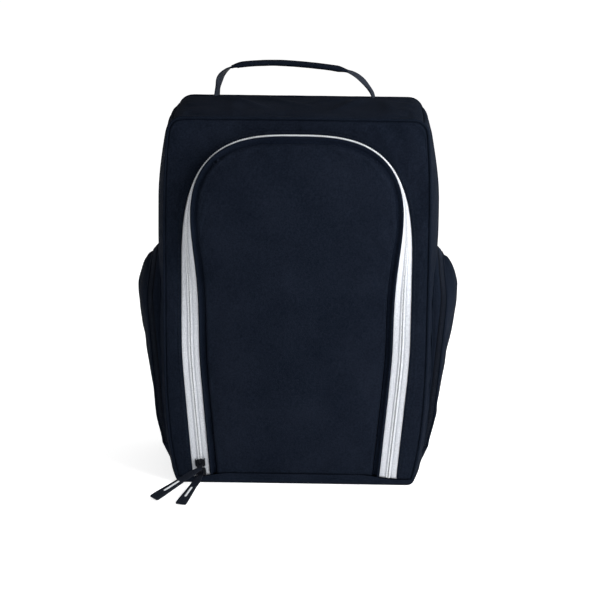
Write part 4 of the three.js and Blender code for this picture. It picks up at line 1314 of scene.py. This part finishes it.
# ---- The side pockets ----

def pocket_edge_x(z):
    rise = clamp((z - POCKET_BOTTOM) / (POCKET_FULL_Z - POCKET_BOTTOM))
    shoulder = POCKET_SHOULDER * smoothstep(z, POCKET_SHOULDER_START_Z, POCKET_SPRING + POCKET_RISE)
    foot = POCKET_FOOT_DRAW * (1 - smoothstep(z, POCKET_BOTTOM, POCKET_BOTTOM + POCKET_FOOT_HEIGHT))
    return lerp(POCKET_LOW_X, POCKET_HIGH_X, rise) - shoulder - foot


def pocket_line():
    """The pocket's arch in the YZ plane, from the front foot over the top to the rear foot."""
    front = [(0, -POCKET_HALF, lerp(POCKET_BOTTOM + GAP, POCKET_SPRING, t)) for t in even(60)]
    for t in clustered(60)[1:]:
        y, rise = superellipse(POCKET_HALF, POCKET_RISE, POCKET_POWER, t * math.pi / 2)
        front.append((0, -max(y, 0.0), POCKET_SPRING + rise))
    rear = [(0, -y, z) for _, y, z in reversed(front[:-1])]
    return Line(front + rear)


POCKET_LINE = pocket_line()
POCKET_LEAN = math.atan2(POCKET_HIGH_X - POCKET_LOW_X, POCKET_FULL_Z - POCKET_BOTTOM)


def pocket_normal(s):
    tangent = POCKET_LINE.tangent(s)
    return Vector((0, -tangent.z, tangent.y))


def on_pocket(side, s, x_from_edge, out):
    """A place on a pocket's gusset: how far in from the lid's rim, and how far out from its surface.

    The gusset's top falls on its way out from the bag's side."""
    point, outward = POCKET_LINE.at(s), pocket_normal(s)
    x = pocket_edge_x(point.z) - x_from_edge
    wall = face_half(point.z) + SIDE_BULGE * fullness(point.y) + GAP
    fall = POCKET_SLOPE * outward.z * max(0, x - wall)
    placed = point + outward * (out - fall)
    return Vector((side * x, placed.y, placed.z))


def pocket_strip(name, side, profile, material, rows=180):
    """A strip along the arch. Each point of profile is (distance in from the rim, height off the gusset)."""
    grid = [[on_pocket(side, t * POCKET_LINE.length, x, out) for x, out in profile] for t in even(rows)]
    return grid_piece(name, grid, [material], (0, 0, 1))


def build_gusset(name, side):
    near_zip = POCKET_ZIP_MIDDLE + POCKET_TAPE + 0.0002
    rows = []
    for t in even(180):
        s = t * POCKET_LINE.length
        point = POCKET_LINE.at(s)
        wall = face_half(point.z) + SIDE_BULGE * fullness(point.y) - 0.0004
        far = max(pocket_edge_x(point.z) - wall, near_zip + 0.0008)
        row = []
        for u in clustered(12):
            in_from_edge = lerp(near_zip, far, u)
            width = far - near_zip
            out = 0.0007 * math.sin(math.pi * u) - curl(width * (1 - u), 0.0016) - curl(width * u, 0.0007)
            out += pucker(s, width * (1 - u), side * 2.7, 0.0004)
            row.append(on_pocket(side, s, in_from_edge, out))
        rows.append(row)
    gusset = grid_piece(f"{name}_pocket_gusset_cloth", rows, [FABRIC, LINING], (0, 0, 1))
    place(smooth(thicken(gusset, POCKET_SHEET, lined=True)), "root", "fabric", f"{name}_pocket_gusset")

    seam = []
    for t in even(240):
        point = POCKET_LINE.at(t * POCKET_LINE.length)
        wall = face_half(point.z) + SIDE_BULGE * fullness(point.y) + 0.0003
        tangent = POCKET_LINE.tangent(t * POCKET_LINE.length)
        seam.append((side * wall, point.y - tangent.z * POCKET_CORD, point.z + tangent.y * POCKET_CORD))
    cord = tube_piece(f"{name}_pocket_seam_cord", tube_rings(Line(seam), POCKET_CORD, 8, 220), PIPING)
    place(cord, "root", "piping")


def build_pocket_floor(name, side):
    rows = []
    for t in clustered(40):
        y = lerp(-POCKET_HALF, POCKET_HALF, t)
        foot = POCKET_BOTTOM - POCKET_TUCK * (1 - abs(y / POCKET_HALF) ** 3) ** 0.6
        wall = face_half(foot) + SIDE_BULGE * fullness(y) - 0.0012
        row = []
        for u in even(14):
            x = lerp(wall, pocket_edge_x(POCKET_BOTTOM) + 0.0002, u) + 0.0015 * math.sin(math.pi * u)
            z = lerp(foot, POCKET_BOTTOM, u)
            row.append(Vector((side * x, y, z - 0.0004)))
        rows.append(row)
    floor = grid_piece(f"{name}_pocket_floor_cloth", rows, [FABRIC, LINING], (0, 0, -1))
    place(smooth(thicken(floor, POCKET_SHEET, lined=True)), "root", "fabric", f"{name}_pocket_floor")
    hinge_x = side * pocket_edge_x(POCKET_BOTTOM)
    hinge = Line([(hinge_x, (POCKET_HALF - 0.004) * (2 * t - 1), POCKET_BOTTOM - 0.0003) for t in even(40)])
    cord = tube_piece(f"{name}_pocket_hinge_cord", tube_rings(hinge, HINGE_CORD, 8, 60), PIPING)
    place(cord, "root", "piping")


RIM_PROFILE = [  # of the lid's binding: distance in from the rim, and height off the gusset
    (-0.0001, -0.0016), (-0.0004, -0.0008), (-0.0001, 0.0000), (0.0006, 0.0004), (0.0015, 0.0005),
    (0.0021, 0.0001), (0.0022, -0.0006),
]


def build_lid(name, side):
    body = f"{name}_lid"
    rim_places = [on_pocket(1, t * POCKET_LINE.length, 0, -0.0009) for t in even(240)]
    line = Line([(0, p.y, p.z) for p in rim_places])
    half = len(rim_places) // 2
    rim_heights = [p.z for p in rim_places[:half]]
    rim_halves = [-p.y for p in rim_places[:half]]
    corner = corner_of(line, 1, 400)
    grid = patch(line, corner, line.length - corner, 30, 40)
    foot = [lerp(line.at(0), line.at(line.length), t) for t in even(80)]
    from_rim = nearness([*line.points, *foot], [1, 2])

    for row in grid:
        for p in row:
            distance = from_rim(p)
            across = clamp(abs(p.y) / max(float(np.interp(p.z, rim_heights, rim_halves)), 0.001))
            shoulder = (1 - clamp((p.z - DOME_FULL_Z) / (LID_TOP_Z - DOME_FULL_Z)) ** 2) ** 0.75
            swell = 0.0012 * (1 - clamp(1 - distance / 0.03) ** 2)
            dome = POCKET_DOME * smoothstep(p.z, DOME_START_Z, DOME_FULL_Z) * shoulder * (1 - across ** 2)
            dome += swell - curl(distance, 0.0016) + pucker(p.y + p.z, distance, side * 4.4)
            dome += 0.0006 * ripple(p.y, p.z * 0.5, side * 6.6, 0.022) * smoothstep(distance, 0.002, 0.015)
            p.x = side * (pocket_edge_x(p.z) + dome)
    lid = grid_piece(f"{name}_pocket_lid_panel", grid, [FABRIC, LINING], (side, 0, 0))
    settle(lid, lambda p: from_rim(p) < 0.0018, pressure=1.2, slack=0.012, cap=0.0018)
    place(smooth(thicken(lid, LID_SHEET, lined=True)), body, "fabric", f"{name}_pocket_lid")

    binding = thicken(pocket_strip(f"{name}_pocket_lid_binding", side, RIM_PROFILE, BINDING_DARKENED_FOR_SHADE), 0.0006)
    place(smooth(binding), body, "binding")

    def on_binding(s):
        return on_pocket(side, s, 0.0010, 0.00055), pocket_normal(s)

    row = stitch_row(f"{name}_pocket_lid_stitches", on_binding, POCKET_LINE.length, THREAD, 0.0030, 0.0002)
    place(row, body, "binding")


def build_pocket_zip(name, side):
    middle, body = POCKET_ZIP_MIDDLE, f"{name}_lid"
    lid_profile = [(-POCKET_TAPE - 0.0008, -0.0004), (-POCKET_TAPE, -0.0003), (-0.0005, -0.0003)]
    wall_profile = [(0.0005, -0.0003), (POCKET_TAPE, -0.0003), (POCKET_TAPE + 0.0010, -0.0005)]
    halves = ("lid", "lid", body, lid_profile), ("wall", "body", "root", wall_profile)
    for half, node, owner, profile in halves:
        placed = [(middle + x, out) for x, out in profile]
        # The tape's colour carries painted shade for the grooves beside the coil.
        tape = pocket_strip(f"{name}_pocket_{half}_tape", side, placed, POCKET_TAPE_DARKENED_FOR_SHADE)
        place(thicken(tape, POCKET_TAPE_SHEET), owner, "pocket_zip", f"{name}_pocket_{node}_zip")

    def on_coil(s, across, v):
        return on_pocket(side, s, middle - across, v)

    for half, hand, owner in (("wall", -1, "root"), ("lid", 1, body)):
        coil_name = f"{name}_pocket_{half}_coil"
        coil = coil_piece(coil_name, on_coil, POCKET_LINE.length, hand, POCKET_ZIP_COIL, POCKET_COIL)
        place(coil, owner, "pocket_zip")


def build_pocket_pull(name, side):
    pivot = pivot_of(f"{name}_pocket_pull_swing")
    lean = Matrix.Rotation(side * POCKET_LEAN, 4, "Y")
    face = pivot - Vector((0, BRIDGE_STAND, 0))
    body_frame = Matrix.Translation(face) @ lean @ Matrix.Rotation(math.pi, 4, "Z")
    slider = metal_piece(f"{name}_pocket_slider_shell", slider_groups(0.0031, 1, 0.0016), body_frame)
    place(slider, f"{name}_pocket_slider_body", "slider_metal", f"{name}_pocket_slider")
    hanging = Matrix.Translation(pivot) @ lean
    body = f"{name}_pocket_pull_body"
    tab = metal_piece(f"{name}_pocket_tab_plate", tab_groups(), hanging)
    place(tab, body, "slider_metal", f"{name}_pocket_tab")
    start = hanging @ Matrix.Translation((0, 0, -TAB_LENGTH + 0.0014))

    def width(t):
        half = lerp(TAB_WIDTH / 2 - 0.0002, RIBBON_WIDTH / 2, smoothstep(t, 0, 0.6))
        return half * (1 - 0.35 * smoothstep(t, 0.93, 1))

    def thickness(t):
        return 0.00085 * (0.8 + 0.2 * math.sin(math.pi * t))

    sizes = POCKET_PULL_LENGTH + 0.0012, width, thickness
    pull = flat_loft(f"{name}_pocket_pull_ribbon", start, *sizes, RIBBON)
    place(pull, body, "pull_ribbon", f"{name}_pocket_pull")


def build_pockets():
    for name, side in SIDES:
        build_gusset(name, side)
        build_pocket_floor(name, side)
        build_lid(name, side)
        build_pocket_zip(name, side)
        build_pocket_pull(name, side)


# ---- The handle ----

HANDLE = Line(spline([
    (x * HANDLE_ROUTE_UNIT, HANDLE_Y, HANDLE_BASE_Z + rise * HANDLE_ROUTE_UNIT) for x, rise in HANDLE_ROUTE
]))


def handle_frame(t):
    s = t * HANDLE.length
    tangent = HANDLE.tangent(s)
    return HANDLE.at(s), tangent.cross(FORWARD).normalized()


def handle_ring(t, half_width, half_thickness, twist, power, columns):
    point, normal = handle_frame(t)
    across = Vector((0, 1, 0)) * math.cos(twist) + normal * math.sin(twist)
    out = normal * math.cos(twist) - Vector((0, 1, 0)) * math.sin(twist)
    outline = rounded_outline(half_width, half_thickness, power, columns)
    return [point + across * a + out * b for a, b in outline]


def build_strap(name, start, end, twist):
    """One strap from its foot up into the sleeve. It is gathered at the foot and twists on its way up."""
    rings = []
    for u in even(60):
        t = lerp(start, end, u)
        z = HANDLE.at(t * HANDLE.length).z
        gather = math.exp(-((z - HANDLE_FOLD_Z) / 0.006) ** 2)
        half_width = STRAP_HALF * (1 - 0.48 * gather) * (1 - 0.25 * smoothstep(u, 0.8, 1))
        half_thickness = 0.0009 * (1 + 0.7 * gather)
        turn = twist * math.sin(math.pi * clamp(u * 0.95 + 0.12))
        rings.append(handle_ring(t, half_width, half_thickness, turn, 3.4, 28))
    strap = tube_piece(f"{name}_handle_webbing", rings, WEBBING)
    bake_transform(smooth(strap))
    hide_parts(f"{name}_handle_foot", f"{name}_handle_strap")


def build_handle():
    build_strap("left", -0.012, SLEEVE_START + 0.03, math.radians(24))
    build_strap("right", 1.012, SLEEVE_END - 0.03, math.radians(-14))
    rings = []
    for u in clustered(90):
        t = lerp(SLEEVE_START, SLEEVE_END, u)
        ends = min(u, 1 - u) * HANDLE.length * (SLEEVE_END - SLEEVE_START)
        half_thickness = lerp(0.0013, SLEEVE_THICKNESS / 2, smoothstep(ends, 0, 0.010))
        half_width = SLEEVE_HALF * (0.93 + 0.07 * smoothstep(ends, 0, 0.006))
        swell = 1 + 0.06 * ripple(u * 0.16, 0, 3.3, 0.012)
        rings.append(handle_ring(t, half_width, half_thickness * swell, 0, 2.8, 40))
    sleeve = tube_piece("handle_grip_sleeve", rings, FABRIC)
    place(smooth(sleeve), "handle", "webbing", "handle_sleeve")
    span = HANDLE.length * (SLEEVE_END - SLEEVE_START) - 0.010

    for name, y_side in (("front", -1), ("rear", 1)):
        def on_sleeve(s, y_side=y_side):
            point, normal = handle_frame(SLEEVE_START + (s + 0.005) / HANDLE.length)
            return point + Vector((0, y_side * 0.0066, 0)) + normal * 0.0019, normal

        place(stitch_row(f"handle_sleeve_{name}_stitches", on_sleeve, span, THREAD), "handle", "webbing")

    low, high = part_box("handle_reinforcement")
    middle = (low + high) / 2
    rings = []
    for t in even(40):
        x = lerp(low.x, high.x, t)
        ring = rounded_outline((high.y - low.y) / 2, (high.z - low.z) / 2, 5, 24)
        rings.append([Vector((x, middle.y + a, middle.z + b)) for a, b in ring])
    strip = tube_piece("handle_reinforcement_webbing", rings, WEBBING)
    place(strip, "root", "webbing", "handle_reinforcement")


# ---- Studio ----

CAMERA_PLACE = Vector((0.0320, -1.9837, 0.5943))
CAMERA_YAW = -0.015
CAMERA_PITCH = 0.2163
CAMERA_ROLL = 0.0104
CAMERA_LENS = 129.1  # millimetres, on a sensor 36 mm wide


def build_camera():
    data = bpy.data.cameras.new("camera")
    data.lens = CAMERA_LENS
    data.sensor_width = 36
    camera = bpy.data.objects.new("camera", data)
    bpy.context.scene.collection.objects.link(camera)
    level = math.cos(CAMERA_PITCH)
    forward = Vector((math.sin(CAMERA_YAW) * level, math.cos(CAMERA_YAW) * level, -math.sin(CAMERA_PITCH)))
    right = forward.cross(Vector((0, 0, 1))).normalized()
    up = right.cross(forward)
    rolled_right = right * math.cos(CAMERA_ROLL) + up * math.sin(CAMERA_ROLL)
    rolled_up = up * math.cos(CAMERA_ROLL) - right * math.sin(CAMERA_ROLL)
    turn = Matrix((rolled_right, rolled_up, -forward)).transposed().to_4x4()
    camera.matrix_world = Matrix.Translation(CAMERA_PLACE) @ turn
    bpy.context.scene.camera = camera


def area_light(name, place_at, target, size, power):
    data = bpy.data.lights.new(name, "AREA")
    data.shape = "DISK"
    data.size = size
    data.energy = power
    light = bpy.data.objects.new(name, data)
    bpy.context.scene.collection.objects.link(light)
    aim = (Vector(target) - Vector(place_at)).to_track_quat("-Z", "Y").to_matrix().to_4x4()
    light.matrix_world = Matrix.Translation(place_at) @ aim


def build_studio():
    world = bpy.data.worlds.new("studio")
    world.use_nodes = True
    world.node_tree.nodes["Background"].inputs[0].default_value = (1, 1, 1, 1)
    world.node_tree.nodes["Background"].inputs[1].default_value = 0.38
    bpy.context.scene.world = world
    bpy.context.scene.view_settings.view_transform = "Standard"
    area_light("key", (0.64, -0.60, 0.64), (0.05, 0, 0.24), 0.6, 9)
    area_light("fill", (-1.6, -1.6, 0.9), (0, 0, 0.18), 1.6, 2)
    area_light("side", (0.85, -0.15, 0.72), (0.14, 0, 0.26), 0.4, 5)
    area_light("top", (0.2, 0.4, 2.0), (0, 0, 0.3), 1.4, 2)
    floor = Recipe("pale_floor", 0.9, specular=0.1)
    floor.colour(floor.noise(0.4), (0.90, 0.90, 0.90), (0.93, 0.93, 0.93))
    floor.shader.inputs["Emission Color"].default_value = (1, 1, 1, 1)
    floor.shader.inputs["Emission Strength"].default_value = 0.70  # lit from below, as a white sweep is
    reach = 20
    corners = [(-reach, -reach, 0), (reach, -reach, 0), (reach, reach, 0), (-reach, reach, 0)]
    mesh_piece("floor", corners, [(0, 1, 2, 3)], [(0, 0), (1, 0), (1, 1), (0, 1)], [floor.material])


build_camera()
build_studio()
build_sides()
build_top()
build_back()
build_surround()
build_piping()
build_base()
build_main_zip()
build_band()
build_flap_panel()
build_main_pull("lower", 1)
build_main_pull("upper", -1)
build_pockets()
build_handle()
